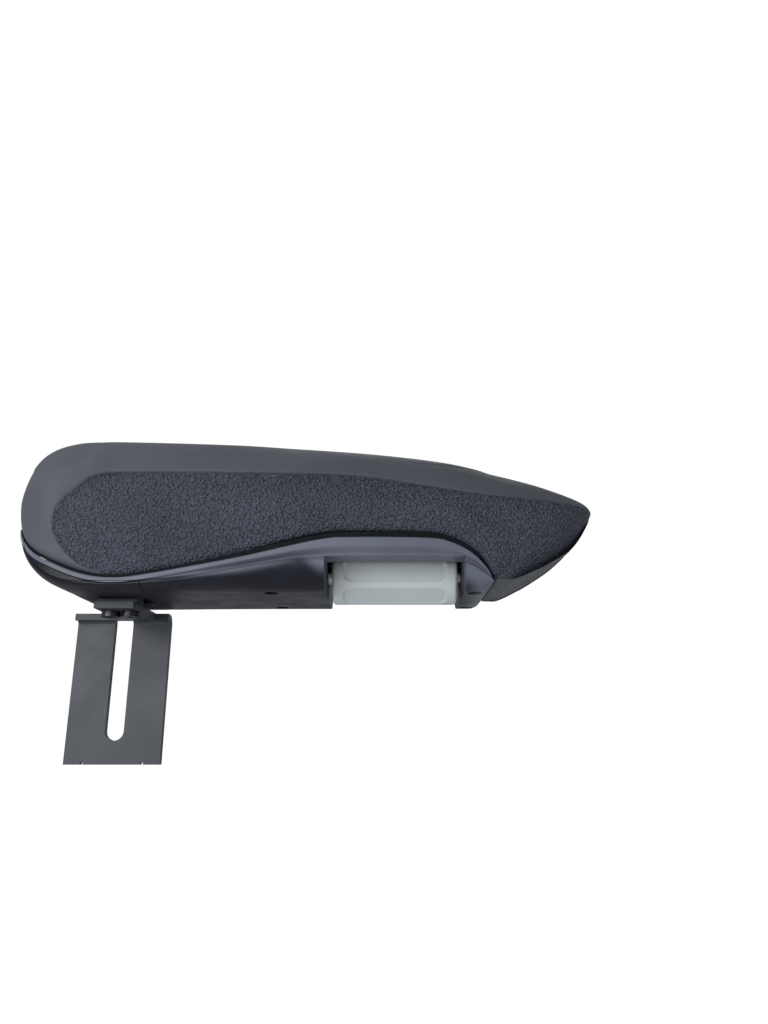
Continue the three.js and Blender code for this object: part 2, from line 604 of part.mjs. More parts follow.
function postScrew(x) {
  const shank = rod("z", FLANGE_TOP - SHEET - 1, FLANGE_TOP + 12, x, 0, POST_SCREW_RADIUS, 20);
  const seat = FLANGE_TOP - SHEET - FIT;
  const head = rod("z", seat - POST_SCREW_HEAD_HEIGHT, seat, x, 0, POST_SCREW_HEAD_RADIUS, 24);
  const socket = rod("z", seat - POST_SCREW_HEAD_HEIGHT - 1, seat - 1.2, x, 0, 2.2, 6);
  return cut(join(head, shank), socket);
}

function pivotSleeve() {
  const half = CHANNEL_INNER_Y - RUN;
  return cut(
    rod("y", -half, half, 0, 0, SLEEVE_RADIUS, 40),
    rod("y", -half - 1, half + 1, 0, 0, BOLT_RADIUS + FIT, 40),
  );
}

function stopLever() {
  const cheek = new THREE.Shape();
  cheek.moveTo(-LEVER_HUB_RADIUS * 0.7, -LEVER_HUB_RADIUS * 0.714);
  cheek.lineTo(FOOT_REAR_X, FOOT_BOTTOM);
  cheek.lineTo(FOOT_FRONT_X, FOOT_BOTTOM);
  cheek.lineTo(FOOT_FRONT_X, FOOT_TOP);
  cheek.lineTo(LEVER_HUB_RADIUS * 0.6, LEVER_HUB_RADIUS * 0.8);
  const bar = sidePlate(cheek, -LEVER_OUTER_Y, LEVER_OUTER_Y);
  const hub = rod("y", -LEVER_OUTER_Y, LEVER_OUTER_Y, 0, 0, LEVER_HUB_RADIUS, 40);
  return cut(
    join(bar, hub),
    box(-50, FOOT_REAR_X, -LEVER_INNER_Y, LEVER_INNER_Y, -60, 30),
    rod("y", -60, 60, 0, 0, SLEEVE_RADIUS + RUN, 40),
  );
}

function pivotBolt() {
  return join(
    rod("y", -HEAD_INNER_Y - 0.5, BOLT_END_Y, 0, 0, BOLT_RADIUS, 32),
    rod("y", -HEAD_INNER_Y - BOLT_HEAD_HEIGHT, -HEAD_INNER_Y, 0, 0, BOLT_HEAD_RADIUS, 6),
  );
}

function pivotWasher(side) {
  const [a, b] = [side * WASHER_INNER_Y, side * (WASHER_INNER_Y + WASHER_THICKNESS)].sort((p, q) => p - q);
  return cut(
    rod("y", a, b, 0, 0, WASHER_RADIUS, 32),
    rod("y", a - 1, b + 1, 0, 0, BOLT_RADIUS + FIT, 32),
  );
}

function pivotNut() {
  return cut(
    rod("y", HEAD_INNER_Y, HEAD_INNER_Y + BOLT_HEAD_HEIGHT, 0, 0, BOLT_HEAD_RADIUS, 6),
    rod("y", HEAD_INNER_Y - 1, HEAD_INNER_Y + BOLT_HEAD_HEIGHT + 1, 0, 0, BOLT_RADIUS + FIT, 32),
  );
}

// ---- Adjuster ---------------------------------------------------------------------------------
const COLLAR_LENGTH = 4;
const THRUST_WASHER = 1.5;
const collarFrontX = BEARING_REAR_X - FIT - THRUST_WASHER - FIT;
const CLIP_THICKNESS = 1.2;
const clipRearX = BEARING_FRONT_X + RUN;

function spindle() {
  const tip = BUSH_FRONT_X;
  return turnedAlongX([
    [SPINDLE_REAR_X, 0],
    [SPINDLE_REAR_X, THREAD_RADIUS],
    [collarFrontX - COLLAR_LENGTH, THREAD_RADIUS],
    [collarFrontX - COLLAR_LENGTH, COLLAR_RADIUS],
    [collarFrontX, COLLAR_RADIUS],
    [collarFrontX, JOURNAL_RADIUS],
    [clipRearX + CLIP_THICKNESS + 1, JOURNAL_RADIUS],
    [clipRearX + CLIP_THICKNESS + 1, SPINDLE_RADIUS],
    [ROLLER_FRONT_X + 1, SPINDLE_RADIUS],
    [ROLLER_FRONT_X + 1, JOURNAL_RADIUS],
    [tip, JOURNAL_RADIUS],
    [tip, 0],
  ]).subtract(rod("y", -30, 30, PIN_X, -SPINDLE_DROP, PIN_RADIUS + FIT, 16));
}

function adjustRoller() {
  let roller = turnedAlongX(
    [
      [ROLLER_REAR_X, SPINDLE_RADIUS + FIT],
      [ROLLER_REAR_X, ROLLER_RADIUS - 2],
      [ROLLER_REAR_X + 0.6, ROLLER_RADIUS - 0.6],
      [ROLLER_REAR_X + 2, ROLLER_RADIUS],
      [ROLLER_FRONT_X - 2, ROLLER_RADIUS],
      [ROLLER_FRONT_X - 0.6, ROLLER_RADIUS - 0.6],
      [ROLLER_FRONT_X, ROLLER_RADIUS - 2],
      [ROLLER_FRONT_X, SPINDLE_RADIUS + FIT],
      [ROLLER_REAR_X, SPINDLE_RADIUS + FIT],
    ],
    48,
  );
  for (let i = 0; i < ROLLER_FLATS; i++) {
    const geometry = new THREE.BoxGeometry(ROLLER_LENGTH - 2 * FLAT_MARGIN, FLAT_WIDTH, 10);
    geometry.translate((ROLLER_REAR_X + ROLLER_FRONT_X) / 2, 0, ROLLER_RADIUS - FLAT_DEPTH + 5);
    geometry.rotateX(((i + 0.5) * 2 * Math.PI) / ROLLER_FLATS).translate(0, 0, -SPINDLE_DROP);
    roller = roller.subtract(solid(geometry));
  }
  return roller.subtract(
    rod("y", -30, 30, PIN_X, -SPINDLE_DROP, PIN_RADIUS + FIT, 16),
  );
}

const rollerPin = () =>
  rod("y", -ROLLER_RADIUS + 3, ROLLER_RADIUS - 3, PIN_X, -SPINDLE_DROP, PIN_RADIUS, 16);

const ringOf = (x0, x1, inner, outer) =>
  turnedAlongX([[x0, inner], [x0, outer], [x1, outer], [x1, inner], [x0, inner]]);

const thrustWasher = () =>
  ringOf(collarFrontX + FIT, BEARING_REAR_X - FIT, JOURNAL_RADIUS + FIT, COLLAR_RADIUS);

const spindleClip = () =>
  ringOf(clipRearX, clipRearX + CLIP_THICKNESS, JOURNAL_RADIUS + FIT, JOURNAL_RADIUS + 2.5);

const rearBush = () =>
  ringOf(BEARING_REAR_X + FIT, BEARING_FRONT_X - FIT, JOURNAL_RADIUS + RUN, BUSH_RADIUS);

const frontBush = () =>
  ringOf(BUSH_REAR_X, BUSH_FRONT_X, JOURNAL_RADIUS + RUN, BUSH_RADIUS);

const BEARING_SCREW_Z = 12 - SPINDLE_DROP;

function bearingBlock() {
  const half = CHANNEL_INNER_Y - FIT;
  const middle = (BEARING_REAR_X + BEARING_FRONT_X) / 2;
  return cut(
    box(BEARING_REAR_X, BEARING_FRONT_X, -half, half, CHANNEL_BOTTOM + 1, BEARING_SCREW_Z + 6),
    rod("x", BEARING_REAR_X - 1, BEARING_FRONT_X + 1, 0, -SPINDLE_DROP, BUSH_RADIUS + FIT),
    rod("y", -60, 60, middle, BEARING_SCREW_Z, SCREW_RADIUS + FIT, 16),
  );
}

function bearingScrew(side) {
  const middle = (BEARING_REAR_X + BEARING_FRONT_X) / 2;
  const seat = CHANNEL_HALF_WIDTH + FIT;
  const span = (from, to) => (side > 0 ? [from, to] : [-to, -from]);
  const shank = span(CHANNEL_INNER_Y - 8, seat + 0.5);
  const head = span(seat, seat + SCREW_HEAD_HEIGHT);
  return join(
    rod("y", head[0], head[1], middle, BEARING_SCREW_Z, SCREW_HEAD_RADIUS, 20),
    rod("y", shank[0], shank[1], middle, BEARING_SCREW_Z, SCREW_RADIUS, 16),
  );
}

function slideNut() {
  const half = CHANNEL_INNER_Y - NUT_SIDE_GAP;
  const x0 = NUT_REAR_X + NUT_NOSE;
  const block = box(x0, x0 + NUT_LENGTH, -half, half, -SPINDLE_DROP - 8, -SPINDLE_DROP + 11);
  const nose = turnedAlongX([
    [NUT_REAR_X, 0],
    [NUT_REAR_X + 0.5, 2.4],
    [NUT_REAR_X + 1.6, 4.2],
    [NUT_REAR_X + 3.2, 5.4],
    [NUT_REAR_X + NUT_NOSE + 1, 6],
    [NUT_REAR_X + NUT_NOSE + 1, 0],
  ]);
  const thread = [SPINDLE_REAR_X - NUT_TRAVEL - 1, x0 + NUT_LENGTH + 1];
  return cut(
    join(block, nose),
    rod("x", thread[0], thread[1], 0, -SPINDLE_DROP, THREAD_RADIUS + RUN),
  );
}

// ---- Screws ------------------------------------------------------------------------------------
function casingScrew([x, y]) {
  const seat = CASING_BOTTOM + SCREW_FLOOR + SCREW_HEAD_HEIGHT;
  const head = rod("z", seat - SCREW_HEAD_HEIGHT, seat, x, y, SCREW_HEAD_RADIUS, 20);
  const shank = rod("z", seat - 0.5, bossTop(x) - 3, x, y, SCREW_RADIUS, 16);
  const bar = SCREW_HEAD_RADIUS * 0.6;
  const low = seat - SCREW_HEAD_HEIGHT - 1;
  return cut(
    join(head, shank),
    box(x - bar, x + bar, y - 0.5, y + 0.5, low, low + 2.2),
    box(x - 0.5, x + 0.5, y - bar, y + bar, low, low + 2.2),
  );
}

// ---- Bracket -----------------------------------------------------------------------------------
function mountBracket() {
  const half = BRACKET_WIDTH / 2;
  const inner = PLATE_OUTER_Y - SHEET;
  const bottomOfFlange = FLANGE_TOP - SHEET;
  const angle = new THREE.Shape();
  angle.moveTo(NECK_END_Y, FLANGE_TOP);
  angle.lineTo(NECK_END_Y, bottomOfFlange);
  angle.lineTo(inner - BEND_RADIUS + SHEET, bottomOfFlange);
  angle.absarc(inner - BEND_RADIUS + SHEET, bottomOfFlange - BEND_RADIUS + SHEET, BEND_RADIUS - SHEET,
    Math.PI / 2, 0, true);
  angle.lineTo(inner, PLATE_BOTTOM);
  angle.lineTo(PLATE_OUTER_Y, PLATE_BOTTOM);
  angle.lineTo(PLATE_OUTER_Y, FLANGE_TOP - BEND_RADIUS);
  angle.absarc(PLATE_OUTER_Y - BEND_RADIUS, FLANGE_TOP - BEND_RADIUS, BEND_RADIUS, 0, Math.PI / 2, false);
  const profile = sectionBar(angle, -half, half);
  const slotHalf = SLOT_WIDTH / 2;
  const nick = (x) => box(x - 0.8, x + 0.8, 0, 60, PLATE_BOTTOM - 1, PLATE_BOTTOM + 1.2);
  let bracket = cut(
    profile,
    box(-half - 1, POST_REAR, NECK_END_Y - 10, NECK_START_Y, FLANGE_TOP - 10, FLANGE_TOP + 1),
    box(POST_FRONT, half + 1, NECK_END_Y - 10, NECK_START_Y, FLANGE_TOP - 10, FLANGE_TOP + 1),
    box(-slotHalf, slotHalf, inner - 2, 60, SLOT_END_Z + slotHalf, FLANGE_TOP + 1),
    rod("y", 0, 60, 0, SLOT_END_Z + slotHalf, slotHalf, 32),
    nick(-0.31 * BRACKET_WIDTH),
    nick(0.31 * BRACKET_WIDTH),
  );
  for (const x of POST_SCREWS_X)
    bracket = bracket.subtract(
      rod("z", FLANGE_TOP - 10, FLANGE_TOP + 1, x, 0, POST_SCREW_RADIUS + FIT, 20),
    );
  return bracket;
}

// ---- Assembly ------------------------------------------------------------------------------------
const armrest = new THREE.Group();
armrest.position.copy(MOUNT).negate();

function piece(parent, name, body, material) {
  const mesh = new THREE.Mesh(geometryOf(body), material);
  mesh.name = name;
  parent.add(mesh);
}

const bracketGroup = new THREE.Group();
piece(bracketGroup, "mount_bracket", mountBracket(), PAINTED_STEEL);
piece(bracketGroup, "pivot_post", pivotPost(), PAINTED_STEEL);
piece(bracketGroup, "pivot_sleeve", pivotSleeve(), BRONZE);
POST_SCREWS_X.forEach((x, i) => piece(bracketGroup, `post_screw_${i + 1}`, postScrew(x), PLATED_STEEL));

const leverGroup = new THREE.Group();
piece(leverGroup, "stop_lever", stopLever(), PLATED_STEEL);

const armGroup = new THREE.Group();
piece(armGroup, "foam_pad", foamPad(), FOAM);
piece(armGroup, "carrier_rail_outer", carrierRail(-1), PLASTIC);
piece(armGroup, "carrier_rail_seat_side", carrierRail(1), PLASTIC);
piece(armGroup, "channel_hood", channelHood(), PLASTIC);
piece(armGroup, "lower_casing", lowerCasing(), PLASTIC);
piece(armGroup, "rear_cover", rearCover(), PLASTIC);
piece(armGroup, "arm_channel", armChannel(), PAINTED_STEEL);
CHANNEL_BOLTS_X.forEach((x, i) => piece(armGroup, `channel_bolt_${i + 1}`, channelBolt(x), PLATED_STEEL));
piece(armGroup, "pivot_bolt", pivotBolt(), PLATED_STEEL);
piece(armGroup, "pivot_nut", pivotNut(), PLATED_STEEL);
piece(armGroup, "pivot_washer_outer", pivotWasher(-1), PLATED_STEEL);
piece(armGroup, "pivot_washer_seat_side", pivotWasher(1), PLATED_STEEL);
piece(armGroup, "bearing_block", bearingBlock(), NYLON);
piece(armGroup, "bearing_screw_outer", bearingScrew(-1), PLATED_STEEL);
piece(armGroup, "bearing_screw_seat_side", bearingScrew(1), PLATED_STEEL);
piece(armGroup, "rear_bush", rearBush(), BRONZE);
piece(armGroup, "front_bush", frontBush(), BRONZE);
SCREW_SPOTS.forEach((spot, i) => piece(armGroup, `casing_screw_${i + 1}`, casingScrew(spot), PLATED_STEEL));

const rollerGroup = new THREE.Group();
piece(rollerGroup, "adjust_roller", adjustRoller(), ROLLER_PLASTIC);
piece(rollerGroup, "roller_spindle", spindle(), PLATED_STEEL);
piece(rollerGroup, "roller_pin", rollerPin(), PLATED_STEEL);
piece(rollerGroup, "thrust_washer", thrustWasher(), BRONZE);
piece(rollerGroup, "spindle_clip", spindleClip(), PLATED_STEEL);

const nutGroup = new THREE.Group();
piece(nutGroup, "slide_nut", slideNut(), NYLON);

armrest.add(bracketGroup, leverGroup, armGroup, rollerGroup, nutGroup);

export default armrest;
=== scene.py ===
# %% [markdown]
# # A flip-up seat armrest
# This lesson dresses a finished mechanical model: a foam pad on a moulded casing, a grey roller
# that sets the tilt, and a steel bracket with a long slot. The mechanics come in as a fixed frame,
# in metres, and nothing in it is moved. Our work is the surface of every piece that shows.

import json
import math

import bmesh
import bpy
import numpy as np
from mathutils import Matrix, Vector
from mathutils.kdtree import KDTree


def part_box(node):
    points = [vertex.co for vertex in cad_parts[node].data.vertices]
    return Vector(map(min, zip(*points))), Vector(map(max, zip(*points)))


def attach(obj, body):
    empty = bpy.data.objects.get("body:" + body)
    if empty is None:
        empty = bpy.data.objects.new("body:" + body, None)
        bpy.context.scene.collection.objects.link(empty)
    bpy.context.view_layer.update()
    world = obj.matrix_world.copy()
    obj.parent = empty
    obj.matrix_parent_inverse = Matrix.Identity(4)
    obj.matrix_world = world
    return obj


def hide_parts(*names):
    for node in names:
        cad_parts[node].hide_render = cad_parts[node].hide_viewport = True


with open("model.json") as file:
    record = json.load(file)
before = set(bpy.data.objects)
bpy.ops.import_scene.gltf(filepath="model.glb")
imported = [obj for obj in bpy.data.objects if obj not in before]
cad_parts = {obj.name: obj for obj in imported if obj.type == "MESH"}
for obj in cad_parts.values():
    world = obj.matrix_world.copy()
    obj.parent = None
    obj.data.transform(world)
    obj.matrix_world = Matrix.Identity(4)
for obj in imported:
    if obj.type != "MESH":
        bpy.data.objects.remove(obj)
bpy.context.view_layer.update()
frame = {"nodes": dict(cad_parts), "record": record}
MM = 0.001

# %% [markdown]
# ## Landmarks
# Every place is worked out from the frame: the pivot from the fold joint, the ends of the pad, the
# casing and the roller from the boxes of their nodes. Lengths are written in millimetres and
# turned into metres with MM, which keeps the numbers readable.

# %% Landmarks from the frame
joint_named = {joint["name"]: joint for joint in frame["record"]["behaviour"]["joints"]}
PIVOT = np.array(joint_named["arm_fold"]["pos_m"])
SPINDLE = np.array(joint_named["roller_spin"]["pos_m"])
pad_low, pad_high = (np.array(corner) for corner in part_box("foam_pad"))
casing_low, casing_high = (np.array(corner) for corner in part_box("lower_casing"))
roller_low, roller_high = (np.array(corner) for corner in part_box("adjust_roller"))
bush_low, bush_high = (np.array(corner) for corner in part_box("front_bush"))

REAR_X = pad_low[0]
NOSE_X = pad_high[0]
HALF_WIDTH = (pad_high[1] - pad_low[1]) / 2
CROWN_Z = pad_high[2]
FRONT_X = casing_high[0] + 1 * MM
BOTTOM_Z = casing_low[2]
CASING_RADIUS = PIVOT[2] - BOTTOM_Z
ROLLER_REAR, ROLLER_FRONT = roller_low[0], roller_high[0]
ROLLER_RADIUS = (roller_high[2] - roller_low[2]) / 2
ARM_LENGTH = NOSE_X - REAR_X
print("arm", round(ARM_LENGTH / MM), "mm long,", round(2 * HALF_WIDTH / MM), "mm wide")

# %% [markdown]
# ## Curves of the arm
# A few points and a Catmull-Rom spline describe each line that the eye follows along the arm:
# the crown, the crease between top and flank, and the S-shaped lower edge. Sampling the spline
# once gives a height for any x, for whole arrays at a time.

# %% Helpers for curves
def height_curve(points):
    """Height over x: a Catmull-Rom spline through (x, z) points, sampled finely and read back by x."""
    p = np.array(points, float)
    p = np.vstack([2 * p[0] - p[1], p, 2 * p[-1] - p[-2]])
    t = np.linspace(0, 1, 40, endpoint=False)[:, None]
    rows = []
    for a, b, c, d in zip(p[:-3], p[1:-2], p[2:-1], p[3:]):
        square, cube = 2 * a - 5 * b + 4 * c - d, 3 * b - a - 3 * c + d
        rows.append(0.5 * (2 * b + (c - a) * t + square * t**2 + cube * t**3))
    line = np.vstack(rows + [p[-2:-1]])
    return lambda x: np.interp(x, line[:, 0], line[:, 1])


def smooth(edge0, edge1, value):
    """Smoothstep: 0 before edge0, 1 after edge1, with a soft S between them."""
    t = np.clip((value - edge0) / (edge1 - edge0), 0, 1)
    return t * t * (3 - 2 * t)


print("smoothstep half way:", smooth(0, 1, 0.5))

# %% Crown, crease, lower edge and width
def at(millimetres):
    """x of a place that many millimetres in front of the pivot."""
    return PIVOT[0] + millimetres * MM


def share(value):
    """x at that share of the arm's length, counted from its rear end."""
    return REAR_X + value * ARM_LENGTH


def up(millimetres):
    """z of a height in millimetres above the pivot."""
    return PIVOT[2] + millimetres * MM


crown_drops = [
    (0.0, 38), (0.0045, 24), (0.018, 13), (0.042, 5.5), (0.085, 1), (0.148, 0), (0.36, 2.2), (0.48, 5),
    (0.63, 9), (0.74, 13.5), (0.81, 19), (0.89, 26), (0.94, 31.6), (0.974, 35.6), (0.99, 38.2),
    (0.997, 40.4), (1.0, 42.5),
]
crown_at = height_curve([(share(s), CROWN_Z - drop * MM) for s, drop in crown_drops])

crease_at = height_curve([
    (REAR_X, up(8.5)), (REAR_X + 20 * MM, up(12.5)), (at(-5), up(15.5)), (at(12), up(19.5)),
    (share(0.46), up(19)), (share(0.59), up(17.5)), (share(0.7), up(12.5)), (share(0.82), up(7.5)),
    (NOSE_X, up(6.5)),
])

low_edge_at = height_curve([
    (REAR_X, up(5)), (REAR_X + 3.5 * MM, up(3)), (REAR_X + 7 * MM, up(-3.5)), (REAR_X + 12 * MM, up(-11)),
    (REAR_X + 22 * MM, up(-20)), (at(-10), up(-28)), (at(4), up(-32.5)), (at(18), up(-34)),
    (at(36), up(-32)), ((at(36) + ROLLER_REAR) / 2, up(-23)), (ROLLER_REAR - 6 * MM, up(-13.6)),
    (ROLLER_REAR + 14 * MM, up(-12.2)), (ROLLER_FRONT - 18 * MM, up(-12.6)),
    (ROLLER_FRONT - 6 * MM, up(-14.6)), (FRONT_X - 14 * MM, up(-20)), (FRONT_X - 6 * MM, up(-28)),
    (FRONT_X - 1.5 * MM, up(-36)), (FRONT_X + 4 * MM, up(-37.6)), (FRONT_X + 12 * MM, up(-36.6)),
    (FRONT_X + 30 * MM, up(-27.4)), (FRONT_X + 45 * MM, up(-16.7)), (NOSE_X - 4 * MM, up(-1)),
    (NOSE_X, up(6.5)),
])

REAR_ROUND, REAR_POWER = 44 * MM, 2.2
NOSE_TAPER, NOSE_POWER = 105 * MM, 2.3


def half_width_at(x):
    """Half width from above: two superellipse ends, |s|^p + |w|^p = 1, joined by a straight part."""
    rear = np.clip((REAR_X + REAR_ROUND - x) / REAR_ROUND, 0, 1)
    nose = np.clip((x - NOSE_X + NOSE_TAPER) / NOSE_TAPER, 0, 1)
    rear_share = (1 - rear**REAR_POWER) ** (1 / REAR_POWER)
    return HALF_WIDTH * rear_share * (1 - nose**NOSE_POWER) ** (1 / NOSE_POWER)


print("crown over the pivot:", round((crown_at(PIVOT[0]) - PIVOT[2]) / MM, 1), "mm")

# %% [markdown]
# ## From arrays to a mesh
# Every new surface is a grid of points: rows along the arm, columns round a closed section. One
# helper writes such a grid into a mesh with numpy and closes its two ends, so that the result is
# one closed skin with its faces pointing out.

# %% Helper that skins a grid
def skin(name, grid, wrap_rows=False):
    """Closed mesh from a grid of points, shape (rows, columns, 3): each row is a closed ring.

    The faces between two rows are quads; each end ring is closed by one n-sided face, or, with
    wrap_rows, the last row joins the first."""
    rows, columns = grid.shape[:2]
    index = np.arange(rows * columns).reshape(rows, columns)
    nxt = np.roll(index, -1, axis=1)
    if wrap_rows:
        below, below_nxt = np.roll(index, -1, axis=0), np.roll(nxt, -1, axis=0)
        quads = np.stack([index, nxt, below_nxt, below], axis=-1).reshape(-1, 4)
    else:
        quads = np.stack([index[:-1], nxt[:-1], nxt[1:], index[1:]], axis=-1).reshape(-1, 4)
    faces = [tuple(q) for q in quads.tolist()]
    if not wrap_rows:
        faces += [tuple(index[0, ::-1].tolist()), tuple(index[-1].tolist())]
    mesh = bpy.data.meshes.new(name)
    mesh.from_pydata(grid.reshape(-1, 3), [], faces)
    mesh.update()
    piece = bpy.data.objects.new(name, mesh)
    bpy.context.scene.collection.objects.link(piece)
    turn_outwards(piece)
    return piece


def turn_outwards(piece):
    """Merges doubles and turns every face of a closed skin outwards."""
    bm = bmesh.new()
    bm.from_mesh(piece.data)
    bmesh.ops.remove_doubles(bm, verts=bm.verts, dist=0.01 * MM)
    bmesh.ops.recalc_face_normals(bm, faces=bm.faces)
    bm.to_mesh(piece.data)
    bm.free()
    piece.data.update()


def shade(piece, angle_deg=35):
    """Smooth shading with sharp edges kept where faces meet at more than the angle."""
    piece.data.shade_smooth()
    piece.data.set_sharp_from_angle(angle=math.radians(angle_deg))


def apply_all(piece):
    """Applies every modifier on a piece, in order."""
    depsgraph = bpy.context.evaluated_depsgraph_get()
    made = bpy.data.meshes.new_from_object(piece.evaluated_get(depsgraph), depsgraph=depsgraph)
    old = piece.data
    piece.modifiers.clear()
    piece.data = made
    bpy.data.meshes.remove(old)


def points_of(piece):
    """The vertices of a mesh as an array."""
    flat = np.empty(len(piece.data.vertices) * 3)
    piece.data.vertices.foreach_get("co", flat)
    return flat.reshape(-1, 3)


print("mesh helpers ready")

# %% [markdown]
# ## The pad's section
# Seen from the front, the pad is a dome on two flanks. The flank carries a panel of coarse grain
# that stands back from the smooth top by about a millimetre. The panel's rear end is round, and
# behind it the smooth skin runs down to the casing. The underside is hollow over the mechanism.

# %% Lip and grained panel
PANEL_START = at(-17)
PANEL_ROUND = 30 * MM
PANEL_DEPTH = 1.3 * MM
PANEL_SOFT = 1.6 * MM
PANEL_NOSE_GAP = 2 * MM
LIP_DROP = 2.1 * MM


def lip_at(x):
    """How far the pad's skin hangs below its own carrier: most round the pivot, none further on."""
    return LIP_DROP * smooth(REAR_X, REAR_X + 12 * MM, x) * (1 - smooth(at(50), at(110), x))


def panel_depth_at(x, z, crease, low):
    """How deep a point lies inside the flank panel: 0 outside it, 1 on its flat.

    The panel's border is the crease above, half an ellipse at the rear, and an upright line near
    the nose; the depth is the distance to the nearest of the three, smoothed."""
    below_crease = crease - z
    middle, half = (crease + low) / 2, np.maximum((crease - low) / 2, 1e-5)
    centre = PANEL_START + PANEL_ROUND
    round_part = np.sqrt(((np.minimum(x, centre) - centre) / PANEL_ROUND) ** 2 + ((z - middle) / half) ** 2)
    from_round = np.where(x < centre, (1 - round_part) * np.minimum(half, PANEL_ROUND), 1.0)
    from_nose = (NOSE_X - PANEL_NOSE_GAP - x) * 0.6
    inside = np.minimum(np.minimum(below_crease, from_round), from_nose)
    return smooth(0, PANEL_SOFT, inside)


print("panel:", round(PANEL_DEPTH / MM, 1), "mm deep, from x", round(PANEL_START / MM), "mm")

# %% Rows of the pad along the arm
POST_END = at(-22)
CHANNEL_END = at(120)
ROLLER_END = FRONT_X - 2.6 * MM
STEP_HALF = 0.4 * MM
REAR_STRETCH = 45 * MM
REAR_ROWS, MIDDLE_ROWS, DIP_ROWS, NOSE_ROWS = 46, 96, 40, 44


def pad_stations():
    """x of every row, closer together at both ends and over the dip behind the nose.

    The hollow under the pad changes height at three places, each held between two close rows."""
    rear = REAR_X + REAR_STRETCH * (1 - np.cos(np.linspace(0.03, math.pi / 2, REAR_ROWS)))
    middle = np.linspace(rear[-1], ROLLER_FRONT, MIDDLE_ROWS)[1:]
    dip = np.linspace(ROLLER_FRONT, FRONT_X + 8 * MM, DIP_ROWS)[1:]
    quarter = np.sin(np.linspace(0, math.pi / 2, NOSE_ROWS))[1:]
    nose = dip[-1] + (NOSE_X - 0.3 * MM - dip[-1]) * quarter
    steps = [end + side * STEP_HALF for end in (POST_END, CHANNEL_END, ROLLER_END) for side in (-1, 1)]
    return np.unique(np.concatenate([rear, middle, dip, nose, steps]))


print("rows along the pad:", len(pad_stations()))

# %% Dome and flanks
LEAN = math.pi / 9
DOME_COLUMNS = 73
FLANK_TUCK = 2 * MM
TUCK_POWER = 1.3
EDGE_ROUND, NOSE_EDGE_ROUND = 3 * MM, 5 * MM
EVEN_SWELL, LOW_SWELL, HIGH_HOLLOW = 0.9, 1.1, 1.9
SHARES_DOWN = np.concatenate([
    np.linspace(0.004, 0.09, 12), np.linspace(0.11, 0.80, 24), 1 - 0.2 * np.linspace(0.95, 0.1, 14) ** 2,
    [1.0],
])[None, :]


def dome(half, crease, crown):
    """Top of the section: y = half cos a / cos(lean); z rises from crease to crown with sin a."""
    angle = np.linspace(LEAN, math.pi - LEAN, DOME_COLUMNS)[None, :]
    lift = (np.sin(angle) - math.sin(LEAN)) / (1 - math.sin(LEAN))
    return half * np.cos(angle) / math.cos(LEAN), crease + (crown - crease) * lift


def flank_swell(x, half, down):
    """Outward swell: one even wave at the rear, and a hollow over a fuller foot further on."""
    waved = smooth(at(30), at(120), x) * (1 - smooth(FRONT_X - 5 * MM, FRONT_X + 35 * MM, x))
    hollow_part = np.sin(math.pi * np.clip(down / 0.46, 0, 1)) ** 2
    full_part = np.sin(math.pi * np.clip((down - 0.3) / 0.7, 0, 1)) ** 2
    uneven = LOW_SWELL * full_part - HIGH_HOLLOW * hollow_part
    swell = (EVEN_SWELL * (1 - waved) * np.sin(math.pi * down) + waved * uneven) * MM
    return swell * np.clip(half / HALF_WIDTH, 0, 1)


def flank(x, half, foot, crease, edge):
    """One side: y leans in from half to foot with down^1.3, less the panel and the rounded edge."""
    z = crease + (edge - crease) * SHARES_DOWN
    y = half + (foot - half) * SHARES_DOWN**TUCK_POWER
    inside = panel_depth_at(x, z, crease, edge)
    wanted = EDGE_ROUND + NOSE_EDGE_ROUND * smooth(FRONT_X + 2 * MM, FRONT_X + 20 * MM, x)
    turn = np.minimum(wanted, 0.3 * (crease - edge) + 0.2 * MM)
    into_edge = np.clip((edge + turn - z) / turn, 0, 1)
    rounding = turn * (1 - np.sqrt(np.clip(1 - into_edge**2, 0, 1)))
    swell = flank_swell(x, half, SHARES_DOWN)
    return np.maximum(y - PANEL_DEPTH * inside + swell - rounding, 0.2 * MM), z


print("columns down a flank:", SHARES_DOWN.size)

# %% Underside and the whole grid
TUNNEL_HALF = (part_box("pivot_bolt")[1][1] - PIVOT[1]) + 4.6 * MM
POST_GAP = 8.3 * MM
BOSSES = [at(36), at(88)]
SCREWS = [at(99), FRONT_X - 12 * MM]
REAR_ROOF, CHANNEL_ROOF, ROLLER_ROOF = up(3.9), up(18.8), up(-5.4)
BOSS_ROOM, BOSS_REACH = 8.2 * MM, 9 * MM
SCREW_ROOM, SCREW_REACH = 4 * MM, 7 * MM
SKIN_GAP = 0.3 * MM


def near(x, places, reach):
    """1 within that reach of any of the places along x, 0 elsewhere."""
    return np.max([(np.abs(x - place) < reach) * 1.0 for place in places], axis=0)


